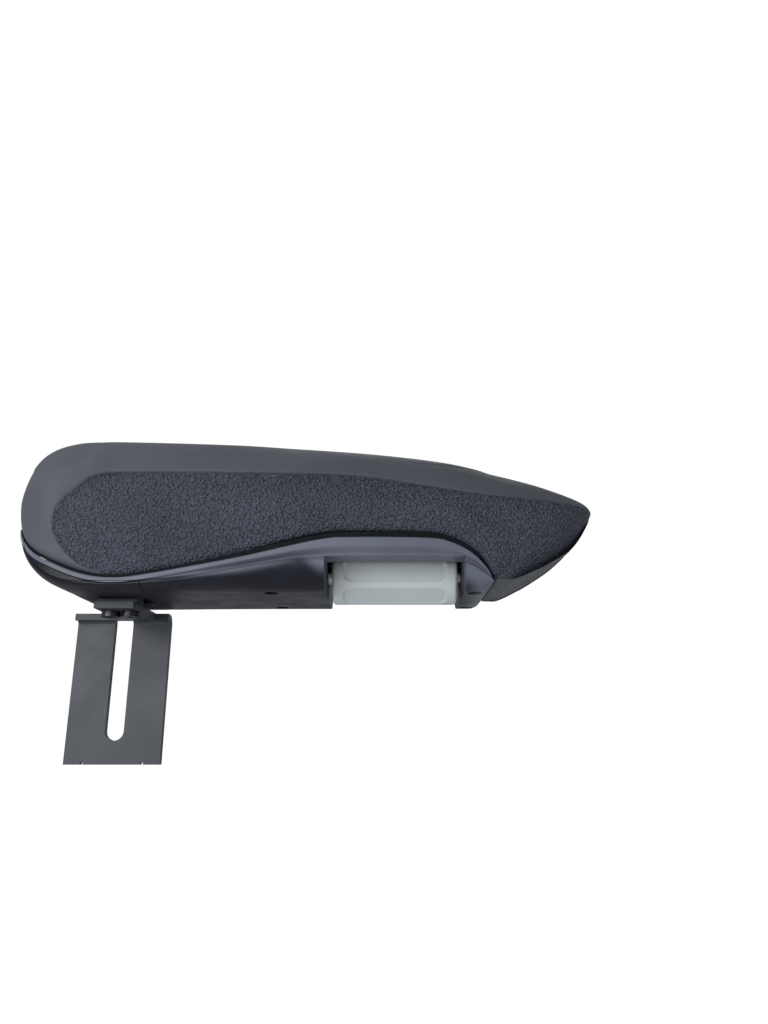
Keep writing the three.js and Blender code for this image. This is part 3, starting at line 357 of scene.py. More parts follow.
def underside(x, half, foot, low, edge, side_y):
    """Eight points from one lower edge to the other: lip, step, and the hollow's walls and roof."""
    behind = x < POST_END
    wide = TUNNEL_HALF + SCREW_ROOM * near(x, SCREWS, SCREW_REACH)
    wall = np.minimum(np.where(behind, POST_GAP, wide), foot * 0.8)
    channel_roof = CHANNEL_ROOF + BOSS_ROOM * near(x, BOSSES, BOSS_REACH)
    roof = np.where(x < CHANNEL_END, channel_roof, np.where(x < ROLLER_END, ROLLER_ROOF, low))
    roof = np.maximum(np.where(behind, REAR_ROOF, roof), low) + SKIN_GAP
    rim = low + SKIN_GAP
    lip = np.maximum(side_y - 1.6 * MM, foot * 0.85)
    step = np.maximum(half - 4.6 * MM, foot * 0.83)
    y = np.concatenate([-lip, -step, -wall, -wall, wall, wall, step, lip], axis=1)
    lip_z = edge + 0.1 * MM
    return y, np.concatenate([lip_z, rim, rim, roof, roof, rim, rim, lip_z], axis=1)


def pad_grid():
    """Rows along x; columns over the dome, down one flank, under the pad and up the other flank."""
    x = pad_stations()[:, None]
    half, low = half_width_at(x), low_edge_at(x)
    edge = low - lip_at(x)
    crown = np.maximum(crown_at(x), low + 3 * MM)
    crease = np.clip(crease_at(x), low + 1 * MM, crown - 1 * MM)
    nose = np.clip((x - FRONT_X) / (NOSE_X - FRONT_X), 0, 1)
    foot = half * (1 - 0.3 * nose) - np.minimum(FLANK_TUCK, half * 0.3)
    dome_y, dome_z = dome(half, crease, crown)
    flank_y, flank_z = flank(x, half, foot, crease, edge)
    under_y, under_z = underside(x, half, foot, low, edge, flank_y[:, -1:])
    y = np.concatenate([dome_y, -flank_y, under_y, flank_y[:, ::-1]], axis=1)
    z = np.concatenate([dome_z, flank_z, under_z, flank_z[:, ::-1]], axis=1)
    return np.stack([np.broadcast_to(x, y.shape), y + PIVOT[1], z], axis=-1)


pad = skin("armrest_pad", pad_grid())
print("pad skin:", len(pad.data.vertices), "vertices")

# %% [markdown]
# ## Letting the foam swell
# Moulded foam stands a little proud wherever its skin is free, like a cushion under pressure. A
# copy of the pad is remeshed evenly and given to the cloth solver with a gentle inner pressure.
# The solver's result is read back as a small movement for every vertex of our clean grid, softly
# capped, so the pad keeps its crease and panel, which an even remesh would have rubbed out.

# %% Cloth on a copy of the pad
SWELL_CAP = 0.8 * MM
SWELL_SHARE = 0.5
SWELL_REACH = 9 * MM
NEIGHBOURS = 24
VOXEL = 6 * MM
FRAMES = 20
PRESSURE = 4


def simulated_swell(piece):
    """Start and end places of the vertices of a remeshed copy after cloth under pressure."""
    copy = bpy.data.objects.new("swelling_copy", piece.data.copy())
    bpy.context.scene.collection.objects.link(copy)
    remesh = copy.modifiers.new("even", "REMESH")
    remesh.mode = "VOXEL"
    remesh.voxel_size = VOXEL
    apply_all(copy)
    start = points_of(copy)
    cloth = copy.modifiers.new("cloth", "CLOTH")
    cloth.settings.use_pressure = True
    cloth.settings.uniform_pressure_force = PRESSURE
    cloth.settings.effector_weights.gravity = 0
    cloth.settings.quality = 5
    cloth.point_cache.frame_start = 1
    cloth.point_cache.frame_end = FRAMES
    scene = bpy.context.scene
    for step in range(1, FRAMES + 1):
        scene.frame_set(step)
    end = copy.evaluated_get(bpy.context.evaluated_depsgraph_get()).data
    flat = np.empty(len(end.vertices) * 3)
    end.vertices.foreach_get("co", flat)
    scene.frame_set(1)
    data = copy.data
    bpy.data.objects.remove(copy)
    bpy.data.meshes.remove(data)
    return start, flat.reshape(-1, 3)


print("cloth solver:", FRAMES, "frames on a", round(VOXEL / MM), "mm remesh")

# %% Swell read back onto the clean grid
def read_back(piece, start, end):
    """Moves each vertex by its simulated neighbours' mean movement, softly capped.

    A neighbour at distance d counts exp(-(d / reach)^2), and a movement of length m becomes
    cap * tanh(m / cap), so that no cell of the remesh shows on the clean skin."""
    tree = KDTree(len(start))
    for number, place in enumerate(start):
        tree.insert(place, number)
    tree.balance()
    moves = end - start
    own = points_of(piece)
    mean = np.empty_like(own)
    for number, place in enumerate(own):
        hits = tree.find_n(place, NEIGHBOURS)
        weight = np.exp(-((np.array([hit[2] for hit in hits]) / SWELL_REACH) ** 2)) + 1e-6
        mean[number] = weight @ moves[[hit[1] for hit in hits]] / weight.sum()
    wanted = np.maximum(np.linalg.norm(mean, axis=1, keepdims=True) * SWELL_SHARE, 1e-9)
    capped = mean * SWELL_SHARE * SWELL_CAP * np.tanh(wanted / SWELL_CAP) / wanted
    free = 0.25 + 0.75 * smooth(up(-30), up(0), own[:, 2:3])
    hollow = (np.abs(own[:, 1:2] - PIVOT[1]) < TUNNEL_HALF + 5 * MM) & (own[:, 2:3] < up(29))
    own = own + capped * np.where(hollow, 0, free)
    own[:, 1] = np.clip(own[:, 1], PIVOT[1] - HALF_WIDTH - 1 * MM, PIVOT[1] + HALF_WIDTH + 1 * MM)
    piece.data.vertices.foreach_set("co", own.ravel())
    piece.data.update()
    return float(np.abs(capped).max())


farthest = read_back(pad, *simulated_swell(pad))
print("cloth pass moved the skin by up to", round(farthest / MM, 2), "mm")
shade(pad, 40)

# %% Panel mask for the grain
def write_mask(piece, name, values):
    """Stores one number per vertex, for a material to read."""
    layer = piece.data.attributes.new(name, "FLOAT", "POINT")
    layer.data.foreach_set("value", np.asarray(values, np.float32))


place = points_of(pad)
pad_crease = crease_at(place[:, 0])
pad_floor = low_edge_at(place[:, 0]) - lip_at(place[:, 0])
on_flank = panel_depth_at(place[:, 0], place[:, 2], pad_crease, pad_floor)
skirt = smooth(0.5 * MM, 2.5 * MM, place[:, 2] - pad_floor)
on_flank = on_flank * np.where(place[:, 0] > FRONT_X, skirt, 1)
write_mask(pad, "panel", on_flank)
print("grain panel covers", round(float(on_flank.mean()) * 100), "% of the vertices")

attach(pad, "arm")
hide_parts("foam_pad")

# %% [markdown]
# ## Cutting tools
# Slots, recesses and the line between casing and rear cover are cut with Boolean modifiers. The
# tools are prisms: a side-view outline carried across the arm, or rods. Every cut is applied at
# once, so the finished mesh holds its place and carries no live Boolean.

# %% Prisms, rods and cuts
def prism(outline, y0, y1):
    """Closed bar across the arm: a side-view outline of (x, z) points carried from y0 to y1."""
    line = np.array(outline)
    rows = [np.column_stack([line[:, 0], np.full(len(line), y), line[:, 1]]) for y in (y0, y1)]
    return skin("cutter", np.array(rows))


def block(x0, x1, y0, y1, z0, z1):
    """Box with its corners at those places."""
    return prism([(x0, z0), (x1, z0), (x1, z1), (x0, z1)], y0, y1)


def rod(axis, centre, radius, start, end, sides=48):
    """Closed cylinder along one axis: a circle (r cos t, r sin t) carried from start to end."""
    t = np.linspace(0, 2 * np.pi, sides, endpoint=False)
    ring = np.zeros((2, sides, 3))
    ring[..., axis] = np.array([start, end])[:, None]
    others = [i for i in range(3) if i != axis]
    ring[..., others[0]] = centre[0] + radius * np.cos(t)
    ring[..., others[1]] = centre[1] + radius * np.sin(t)
    return skin("cutter", ring)


def carve(piece, tool, operation="DIFFERENCE"):
    """Cuts the tool off a piece, or keeps only what they share, and removes the tool."""
    cut = piece.modifiers.new("carve", "BOOLEAN")
    cut.operation = operation
    cut.object = tool
    cut.solver = "EXACT"
    apply_all(piece)
    data = tool.data
    bpy.data.objects.remove(tool)
    bpy.data.meshes.remove(data)
    return piece


MID = PIVOT[1]
ACROSS = 100 * MM
print("tools ready")

# %% [markdown]
# ## The casing
# Below the pad hangs a satin plastic shell. Its side has a smooth ledge under the shadow groove, a
# step, a shallow scoop and a broad roll-over into the flat bottom. The rear is an arc about the
# pivot, because the bracket has to pass under it. A section is carried along the arm, and its
# height, width and depth of scoop change from row to row.

# %% Casing as a section carried along the arm
GROOVE = 3.6 * MM
CASING_SIDE = 2.5 * MM
WALL = 3 * MM
SCOOPED_WALL = 4.8 * MM
ROLL = 14 * MM
FRONT_TURN = 8 * MM
LEDGE, LEDGE_STEP, STEP_RUN = 2.6 * MM, 1.5 * MM, 0.35 * MM
LIP_ROUND, LIP_RUN = 0.5 * MM, 0.7 * MM
SCOOP, SCOOP_START = 3.4 * MM, 0.34
ROLL_SHARE = 0.42
PLAIN_FROM, PLAIN_TO = at(30), at(95)


def casing_bottom_at(x):
    """z of the casing's lowest line: a circle about the pivot, a flat, and a quarter circle up."""
    back = np.clip(PIVOT[0] - x, 0, CASING_RADIUS)
    front = np.clip((x - (FRONT_X - 1 * MM - FRONT_TURN)) / FRONT_TURN, 0, 1)
    return PIVOT[2] - np.sqrt(CASING_RADIUS**2 - back**2) + FRONT_TURN * (1 - np.sqrt(1 - front**2))


def casing_stations(rear, front):
    """Rows crowded towards the rear arc and the front end, where the surface turns fastest."""
    t = np.linspace(0, math.pi / 2, 56)
    back = rear + (PIVOT[0] - rear) * (1 - np.cos(t))
    middle = np.linspace(PIVOT[0], front - 10 * MM, 96)[1:]
    nose = front - 10 * MM + 10 * MM * np.sin(np.linspace(0, math.pi / 2, 22))[1:]
    return np.concatenate([back, middle, nose])[:, None]


print("casing rows:", casing_stations(REAR_X, FRONT_X).size)

# %% Side, step, scoop and roll-over of the casing
def casing_side(x, top, bottom, half, inset):
    """Half of the section, from the top edge to the middle of the bottom, as arrays (y, z).

    Down the side s runs 0..1, and y is half - lip - step - scoop. Near the pivot there is a ledge
    and a sharp step; forward of it they give way to a scoop, sin^2 over the lower two thirds. The
    last part is a quarter of an ellipse whose radii are the roll-over."""
    height = np.maximum(top - bottom, 0.2 * MM)
    roll_y = np.minimum(ROLL - inset, half * 0.6)
    plain = smooth(PLAIN_FROM, PLAIN_TO, x)
    ledge = np.minimum(LEDGE, height * 0.5)
    roll_z = np.minimum(ROLL - inset, height * (ROLL_SHARE + 0.2 * plain))
    s = np.linspace(0, 1, 60)[None, :]
    side_height = height - roll_z
    if inset == 0:
        lip = LIP_ROUND * (1 - smooth(0, LIP_RUN, s * side_height))
        step = LEDGE_STEP * (1 - plain) * smooth(ledge, ledge + STEP_RUN, s * side_height)
        scoop = np.minimum(SCOOP, side_height * 0.42) * plain
        scoop = scoop * np.sin(math.pi * np.clip((s - SCOOP_START) / (1 - SCOOP_START), 0, 1)) ** 2
        y_side = half - lip - step - scoop
        roll_start = LEDGE_STEP * (1 - plain)
    else:
        y_side, roll_start = half + 0 * s * x, 0 * x
    z_side = top - side_height * s
    a = np.linspace(0, math.pi / 2, 26)[None, 1:]
    y_roll = half - roll_start - (roll_y - roll_start) * (1 - np.cos(a))
    z_roll = bottom + roll_z * (1 - np.sin(a))
    y_flat = (half - roll_y) * np.linspace(1, 0, 9)[None, 1:]
    z_flat = bottom + 0 * y_flat
    return np.hstack([y_side, y_roll, y_flat]), np.hstack([z_side, z_roll, z_flat])


print("scoop:", round(SCOOP / MM, 1), "mm deep, roll-over:", round(ROLL / MM), "mm")

# %% Casing shell
def casing_solid(name, inset, rear, front, lift=0.0):
    """Closed bar with the casing's outer or, with an inset, inner shape."""
    x = casing_stations(rear, front)
    bottom = np.minimum(casing_bottom_at(x) + inset, up(-1))
    top = np.maximum(low_edge_at(x) - GROOVE + lift, bottom + 0.3 * MM)
    half = np.maximum(half_width_at(x) - CASING_SIDE - inset, 1 * MM)
    y, z = casing_side(x, top, bottom, half, inset)
    ring_y = np.hstack([y, -y[:, -2::-1]])
    ring_z = np.hstack([z, z[:, -2::-1]])
    grid = np.stack([np.broadcast_to(x, ring_y.shape), ring_y + MID, ring_z], axis=-1)
    return skin(name, grid)


casing = casing_solid("lower_shell", 0, REAR_X + 6.8 * MM, FRONT_X - 1 * MM)
NOTCH_REAR, NOTCH_FRONT = ROLLER_REAR - 2.6 * MM, ROLLER_FRONT + 2.6 * MM
hollow = casing_solid("hollow", SCOOPED_WALL, REAR_X + 10 * MM, NOTCH_REAR - WALL, 40 * MM)
carve(casing, hollow)
print("casing shell:", len(casing.data.vertices), "vertices")

# %% [markdown]
# The rear part of the shell is a separate cover: the lowest strip of the arc and of the bottom.
# Its border is a thin line, so the same outline cuts the casing a little larger than the cover.
# A shallow relief on the seat side gives the cover room over the bracket's bend when the nose tips.

# %% Rear cover and casing from one shell
COVER_FRONT = at(31.6)
COVER_LIP = 0.6 * MM
COVER_GAP = 0.35 * MM
POST_WAY = 8 * MM
PRY_OFFSET, PRY_HALF, PRY_DEPTH = 22 * MM, 0.8 * MM, 1.2 * MM


def cover_zone(grow):
    """Side-view outline of the strip that belongs to the cover, grown by a gap."""
    inner = CASING_RADIUS - WALL - COVER_LIP - grow
    t = np.linspace(-math.pi / 2, -math.pi * 0.999, 48)
    arc = [(PIVOT[0] + inner * math.cos(a), PIVOT[2] + inner * math.sin(a)) for a in t]
    outer = CASING_RADIUS + 12 * MM
    back = [(PIVOT[0] + outer * math.cos(a), PIVOT[2] + outer * math.sin(a)) for a in t[::-6]]
    front = COVER_FRONT + grow
    return [(front, PIVOT[2] - inner)] + arc + back + [(front, PIVOT[2] - outer)]


def post_slot(piece):
    """Cuts the way of the bracket's post out of a piece."""
    carve(piece, block(at(-5), at(28.2), MID - POST_WAY, MID + POST_WAY, up(-70), up(-12)))
    carve(piece, block(REAR_X - 5 * MM, at(5), MID - POST_WAY, MID + POST_WAY, up(-70), up(3.6)))


cover = bpy.data.objects.new("rear_shell", casing.data.copy())
bpy.context.scene.collection.objects.link(cover)
carve(cover, prism(cover_zone(0), MID - ACROSS, MID + ACROSS), "INTERSECT")
post_slot(cover)
for y in (MID - PRY_OFFSET, MID + PRY_OFFSET):
    carve(cover, block(at(14), at(20), y - PRY_HALF, y + PRY_HALF, up(-50), BOTTOM_Z + PRY_DEPTH))
carve(casing, prism(cover_zone(COVER_GAP), MID - ACROSS, MID + ACROSS))
post_slot(casing)

# %% Relief over the bracket's bend
RELIEF = 1.1 * MM
relief_line = [
    (at(17), BOTTOM_Z - 9 * MM), (at(17), BOTTOM_Z), (at(30), BOTTOM_Z + RELIEF),
    (at(34), BOTTOM_Z + RELIEF), (at(38), BOTTOM_Z), (at(38), BOTTOM_Z - 9 * MM),
]
for shell in (casing, cover):
    carve(shell, prism(relief_line, MID + 31.5 * MM, MID + 50 * MM))
print("cover:", len(cover.data.vertices), "casing:", len(casing.data.vertices), "vertices")

# %% Roller notch, bush hole and screw recesses
NOTCH_TOP = BOTTOM_Z + 17.5 * MM
TUNNEL_Y = TUNNEL_HALF - 3.6 * MM
BOSS_RADIUS, SCREW_HOLE, HEAD_RECESS, RECESS_DEPTH = 5 * MM, 2.2 * MM, 3.9 * MM, 6.7 * MM
carve(casing, block(NOTCH_REAR, NOTCH_FRONT, MID - ACROSS, MID + ACROSS, up(-60), NOTCH_TOP))
carve(casing, block(NOTCH_REAR, NOTCH_FRONT, MID - TUNNEL_Y, MID + TUNNEL_Y, up(-60), up(0)))
carve(casing, rod(0, (MID, SPINDLE[2]), 6 * MM, NOTCH_REAR - 10 * MM, NOTCH_REAR + 1 * MM))
bush_radius = (bush_high[2] - bush_low[2]) / 2 + 0.3 * MM
carve(casing, rod(0, (MID, SPINDLE[2]), bush_radius, NOTCH_FRONT - 1 * MM, bush_high[0] + 0.3 * MM))
for number in (1, 2, 3, 4):
    low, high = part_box("casing_screw_%d" % number)
    centre = ((low[0] + high[0]) / 2, (low[1] + high[1]) / 2)
    if centre[0] < NOTCH_REAR:
        boss_top = low_edge_at(centre[0]) - GROOVE - 1.5 * MM
        carve(casing, rod(2, centre, BOSS_RADIUS, BOTTOM_Z + 1 * MM, boss_top), "UNION")
    carve(casing, rod(2, centre, SCREW_HOLE, up(-60), up(0)))
    carve(casing, rod(2, centre, HEAD_RECESS, up(-60), BOTTOM_Z + RECESS_DEPTH))
print("casing after its cuts:", len(casing.data.vertices), "vertices")


# %% Ledge mask that keeps the painted shade off the ledge, and shading of the shells
def unshaded_ledge_share(place):
    """1 on the ledge under the groove, 0 on the scoop and bottom below it, which the casing's finish colours
    with painted shade.
    """
    x, z = place[:, 0], place[:, 2]
    below = low_edge_at(x) - GROOVE - z
    forward = smooth(PLAIN_FROM, PLAIN_TO, x)
    apron = smooth(NOTCH_REAR - 14 * MM, NOTCH_REAR, x)
    start = (2.3 + 2.7 * forward + 7 * apron) * MM
    return 1 - smooth(start, start + (0.5 + 5.5 * forward + 3 * apron) * MM, below)


for shell in (casing, cover):
    turn_outwards(shell)
    shade(shell, 32)
    # the ledge mask: 1 keeps the plastic's own grey, 0 gets the painted shade of the scoop and bottom
    write_mask(shell, "ledge", unshaded_ledge_share(points_of(shell)))
    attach(shell, "arm")
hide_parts("lower_casing")
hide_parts("rear_cover")
print("casing finished:", len(casing.data.polygons), "faces")

# %% [markdown]
# ## The roller
# A grey drum with six shallow finger pads. Its surface is one grid over position along the axis
# and angle: the radius drops to a flat wherever a rounded rectangle round a pad's middle says so,
# and both rims are rounded. The grid is a torus, since the bore joins the two end faces.

# %% Profile and finger pads of the roller
RIM_ROUND = 2 * MM
PAD_CORNER = 5.2 * MM
PAD_HALF = 6.9 * MM
PAD_SUNK = 1.6 * MM
END_BAND = 6 * MM


def roller_profile():
    """(x, r) round the drum's half section: out of the bore, over the rim, along, and back."""
    rim = RIM_ROUND
    t = np.linspace(0, math.pi / 2, 9)
    rear = np.column_stack([ROLLER_REAR + rim * (1 - np.sin(t)), ROLLER_RADIUS - rim * (1 - np.cos(t))])
    along = np.linspace(ROLLER_REAR + rim, ROLLER_FRONT - rim, 180)[1:-1]
    front = rear.copy()
    front[:, 0] = ROLLER_REAR + ROLLER_FRONT - front[:, 0]
    bore = 5.3 * MM
    face = np.linspace(bore, ROLLER_RADIUS - rim, 7)[:-1]
    return np.vstack([
        np.column_stack([np.full(6, ROLLER_REAR), face]),
        rear[::-1],
        np.column_stack([along, np.full(len(along), ROLLER_RADIUS)]),
        front,
        np.column_stack([np.full(6, ROLLER_FRONT), face[::-1]]),
    ])


def finger_pad(x, angle):
    """0..1 mask of six rounded rectangles: a rounded box's distance, softened over a millimetre."""
    sector = math.pi / 3
    turned = (angle + sector / 2) % sector - sector / 2
    across = np.abs(ROLLER_RADIUS * turned)
    middle = (ROLLER_REAR + ROLLER_FRONT) / 2
    reach = (ROLLER_FRONT - ROLLER_REAR) / 2 - END_BAND
    dx = np.maximum(np.abs(x - middle) - (reach - PAD_CORNER), 0)
    dy = np.maximum(across - (PAD_HALF - PAD_CORNER), 0)
    return 1 - smooth(-1.0 * MM, 0.2 * MM, np.hypot(dx, dy) - PAD_CORNER), turned


print("finger pads:", round(2 * PAD_HALF / MM, 1), "mm wide, sunk", round(PAD_SUNK / MM, 1), "mm")

# %% Roller mesh
def roller_grid():
    """Rows along the profile, columns round the axis; a pad's floor is a plane, r = (R - d) / cos."""
    profile = roller_profile()
    x, r = profile[:, :1], profile[:, 1:]
    angle = np.linspace(0, 2 * math.pi, 288, endpoint=False)[None, :]
    mask, turned = finger_pad(x, angle - math.pi / 6)
    on_drum = r > ROLLER_RADIUS - 0.3 * MM
    flat = np.minimum((ROLLER_RADIUS - PAD_SUNK) / np.cos(turned), ROLLER_RADIUS)
    radius = np.where(on_drum, r + (flat - r) * mask, r)
    y = MID + radius * np.sin(angle)
    z = SPINDLE[2] + radius * np.cos(angle)
    return np.stack([np.broadcast_to(x, y.shape), y, z], axis=-1)


roller = skin("grip_roller", roller_grid(), wrap_rows=True)
shade(roller, 50)
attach(roller, "roller")
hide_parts("adjust_roller")
print("roller:", len(roller.data.polygons), "faces")

# %% [markdown]
# ## The bracket
# Sheet steel, cut and bent, then powder coated: every edge is slightly round. The model's own
# bracket has the right shape and sharp corners, so a merged copy of it gets a bevel. Normals
# weighted by the faces' areas then keep the large sheet from taking up the shading of its edges.

# %% Bracket with rounded edges
def softened_copy(node, name, width, angle_deg=35):
    """Copy of a CAD node with flat regions dissolved, its edges bevelled and its faces level."""
    piece = bpy.data.objects.new(name, frame["nodes"][node].data.copy())
    bpy.context.scene.collection.objects.link(piece)
    bm = bmesh.new()
    bm.from_mesh(piece.data)
    bmesh.ops.remove_doubles(bm, verts=bm.verts, dist=0.02 * MM)
    bmesh.ops.dissolve_limit(bm, angle_limit=math.radians(1), verts=bm.verts, edges=bm.edges)
    bm.to_mesh(piece.data)
    bm.free()
    piece.data.materials.clear()
    piece.data.shade_smooth()
    bevel = piece.modifiers.new("rounded edges", "BEVEL")
    bevel.width = width
    bevel.segments = 3
    bevel.limit_method = "ANGLE"
    bevel.angle_limit = math.radians(angle_deg)
    level = piece.modifiers.new("flat faces stay flat", "WEIGHTED_NORMAL")
    level.mode = "FACE_AREA"
    level.weight = 80
    apply_all(piece)
    return piece


bracket = softened_copy("mount_bracket", "slotted_bracket", 0.6 * MM)
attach(bracket, "bracket")
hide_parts("mount_bracket")
print("bracket:", len(bracket.data.polygons), "faces")

# %% [markdown]
# ## Finishes
# Each finish is a small tree of nodes on Object coordinates, in metres: a noise for the drift of
# colour, and another for the height that a Bump node turns into texture. The scale of a pattern
# is one over its size in metres, so grain 1.6 mm wide needs a scale near 600.

# %% Helpers for nodes
def new_material(name, base, roughness, metallic=0.0):
    """Principled material with its plain values set; returns it with its tree and shader."""
    material = bpy.data.materials.new(name)
    material.use_nodes = True
    tree = material.node_tree
    shader = tree.nodes["Principled BSDF"]
    shader.inputs["Base Color"].default_value = (*base, 1)
    shader.inputs["Roughness"].default_value = roughness
    shader.inputs["Metallic"].default_value = metallic
    return material, tree, shader


def add(tree, kind, links=None, **values):
    """A node with its settings; links maps an input's name to the socket that feeds it."""
    node = tree.nodes.new(kind)
    for key, value in values.items():
        if key in node.inputs:
            node.inputs[key].default_value = value
        else:
            setattr(node, key, value)
    for key, socket in (links or {}).items():
        tree.links.new(socket, node.inputs[key])
    return node


def noise(tree, scale, detail=3.0, rough=0.5):
    """Noise on the object's own coordinates."""
    place = add(tree, "ShaderNodeTexCoord").outputs["Object"]
    return add(tree, "ShaderNodeTexNoise", {"Vector": place}, Scale=scale, Detail=detail, Roughness=rough)


def ramp(tree, source, low, high, start=0.35, end=0.65):
    """Colour or grey between two values as the source goes from start to end."""
    node = add(tree, "ShaderNodeValToRGB", {"Fac": source})
    first, last = node.color_ramp.elements
    first.position, last.position = start, end
    first.color = (*low, 1) if isinstance(low, tuple) else (low, low, low, 1)
    last.color = (*high, 1) if isinstance(high, tuple) else (high, high, high, 1)
    return node.outputs["Color"]


def bump(tree, shader, height, distance, strength=1.0, below=None):
    """Adds a height to a shader's normal, on top of an earlier bump if there is one."""
    links = {"Height": height}
    if below is not None:
        links["Normal"] = below.outputs["Normal"]
    node = add(tree, "ShaderNodeBump", links, Distance=distance, Strength=strength)
    tree.links.new(node.outputs["Normal"], shader.inputs["Normal"])
    return node


print("node helpers ready")

# %% [markdown]
# ### Foam skin
# The top of the pad is smooth and slightly satin; the flank panel has a pebble grain like coarse
# leather. The mask stored on the vertices fades one into the other at the crease. Cell noise
# gives pebbles, and finer noise breaks up their tops.

# %% Foam skin
PEBBLE_SCALE = 820.0
GRAIN_HEIGHT = 0.0016


def pad_material():
    """Dark grey moulded foam skin with a grained panel."""
    material, tree, shader = new_material("foam_skin", (0.08, 0.09, 0.105), 0.6)
    panel = add(tree, "ShaderNodeAttribute", attribute_name="panel").outputs["Fac"]
    drift = noise(tree, 18, 4).outputs["Fac"]
    smooth_tone = ramp(tree, drift, (0.044, 0.050, 0.061), (0.058, 0.065, 0.078))
    grain_tone = ramp(tree, drift, (0.041, 0.048, 0.070), (0.057, 0.066, 0.094))
    place = add(tree, "ShaderNodeTexCoord").outputs["Object"]
    pebbles = add(tree, "ShaderNodeTexVoronoi", {"Vector": place}, feature="SMOOTH_F1")
    pebbles.inputs["Scale"].default_value = PEBBLE_SCALE
    pebbles.inputs["Smoothness"].default_value = 0.5
    fine = noise(tree, 2600, 2).outputs["Fac"]
    # painted light and shade: the grain's colour is raised on the pebbles' tops and darkened in the valleys
    # between them
    pebble_light_and_shade = ramp(tree, pebbles.outputs["Distance"], 1.45, 0.45, 0.12, 0.62)
    pebbled = add(tree, "ShaderNodeMix", data_type="RGBA", blend_type="MULTIPLY")
    pebbled.inputs[0].default_value = 1.0
    tree.links.new(grain_tone, pebbled.inputs[6])
    tree.links.new(pebble_light_and_shade, pebbled.inputs[7])
    colour = add(tree, "ShaderNodeMix", {"Factor": panel}, data_type="RGBA")
    tree.links.new(smooth_tone, colour.inputs[6])
    tree.links.new(pebbled.outputs[2], colour.inputs[7])
    tree.links.new(colour.outputs[2], shader.inputs["Base Color"])
    low = add(tree, "ShaderNodeMath", {0: pebbles.outputs["Distance"], 1: panel}, operation="MULTIPLY")
    faint = add(tree, "ShaderNodeMath", {0: fine}, operation="MULTIPLY")
    faint.inputs[1].default_value = 0.12
    height = add(tree, "ShaderNodeMath", {0: faint.outputs[0], 1: low.outputs[0]}, operation="SUBTRACT")
    bump(tree, shader, height.outputs[0], GRAIN_HEIGHT, 1.0)
    tree.links.new(ramp(tree, noise(tree, 60, 3).outputs["Fac"], 0.5, 0.66), shader.inputs["Roughness"])
    shader.inputs["Specular IOR Level"].default_value = 0.36
    shader.inputs["Sheen Weight"].default_value = 0.03
    shader.inputs["Sheen Roughness"].default_value = 0.5
    return material


pad.data.materials.append(pad_material())
print("pad finish:", pad.data.materials[0].name)

# %% [markdown]
# ### Moulded plastics
# The casing has the fine spark texture of a mould, a little shinier where it is rubbed. The roller
# is a lighter satin grade, with faint flow marks in its colour.

# %% Casing and roller plastics
def plastic(name, dark, light, roughness, grain=3200, depth=0.00006, drift=25):
    """Textured moulded plastic: drifting tone, drifting gloss and a fine grain."""
    material, tree, shader = new_material(name, dark, roughness)
    tree.links.new(ramp(tree, noise(tree, drift, 4).outputs["Fac"], dark, light), shader.inputs["Base Color"])
    gloss = ramp(tree, noise(tree, 70, 3).outputs["Fac"], roughness - 0.05, roughness + 0.07)
    tree.links.new(gloss, shader.inputs["Roughness"])
    bump(tree, shader, noise(tree, grain, 2).outputs["Fac"], depth, 0.7)
    return material


def casing_material():
    """Casing plastic in its own grey on the ledge; below it the colour is painted shade, near black, for the
    shadow in the scoop and under the roll-over.
    """
    material, tree, shader = new_material("casing_plastic", (0.05, 0.055, 0.075), 0.4)
    ledge = add(tree, "ShaderNodeAttribute", attribute_name="ledge").outputs["Fac"]
    drift = noise(tree, 25, 4).outputs["Fac"]
    satin = ramp(tree, drift, (0.098, 0.108, 0.142), (0.116, 0.127, 0.163))
    # painted shade: near black below the ledge, standing in for the shadow in the scoop
    closed = ramp(tree, drift, (0.003, 0.004, 0.009), (0.005, 0.0065, 0.013))
    colour = add(tree, "ShaderNodeMix", {"Factor": ledge}, data_type="RGBA")
    tree.links.new(closed, colour.inputs[6])
    tree.links.new(satin, colour.inputs[7])
    tree.links.new(colour.outputs[2], shader.inputs["Base Color"])
    gloss = ramp(tree, noise(tree, 70, 3).outputs["Fac"], 0.38, 0.5)
    tree.links.new(gloss, shader.inputs["Roughness"])
    bump(tree, shader, noise(tree, 3200, 2).outputs["Fac"], 0.00006, 0.7)
    shader.inputs["Specular IOR Level"].default_value = 0.22
    return material


casing_finish = casing_material()
roller_finish = plastic("roller_plastic", (0.42, 0.465, 0.475), (0.46, 0.50, 0.51), 0.38, grain=2200)
# painted shade: a near-black copy of the casing plastic for the pieces inside the arm, which sit in shade
inner_painted_shade_finish = plastic("inner_plastic", (0.004, 0.005, 0.007), (0.007, 0.008, 0.010), 0.7)
inner_painted_shade_finish.node_tree.nodes["Principled BSDF"].inputs["Specular IOR Level"].default_value = 0.1
nylon_finish = plastic("nylon", (0.62, 0.61, 0.56), (0.70, 0.69, 0.64), 0.45)
for shell in (casing, cover):
    shell.data.materials.clear()
    shell.data.materials.append(casing_finish)
roller.data.materials.append(roller_finish)
print("plastics:", casing_finish.name, roller_finish.name)

# %% [markdown]
# ### Powder coat and bare metals
# Powder coat flows into a fine orange peel before it hardens. Zinc-plated screws are metal with
# a mottled gloss, and the bushes are sintered bronze, which is porous and duller.

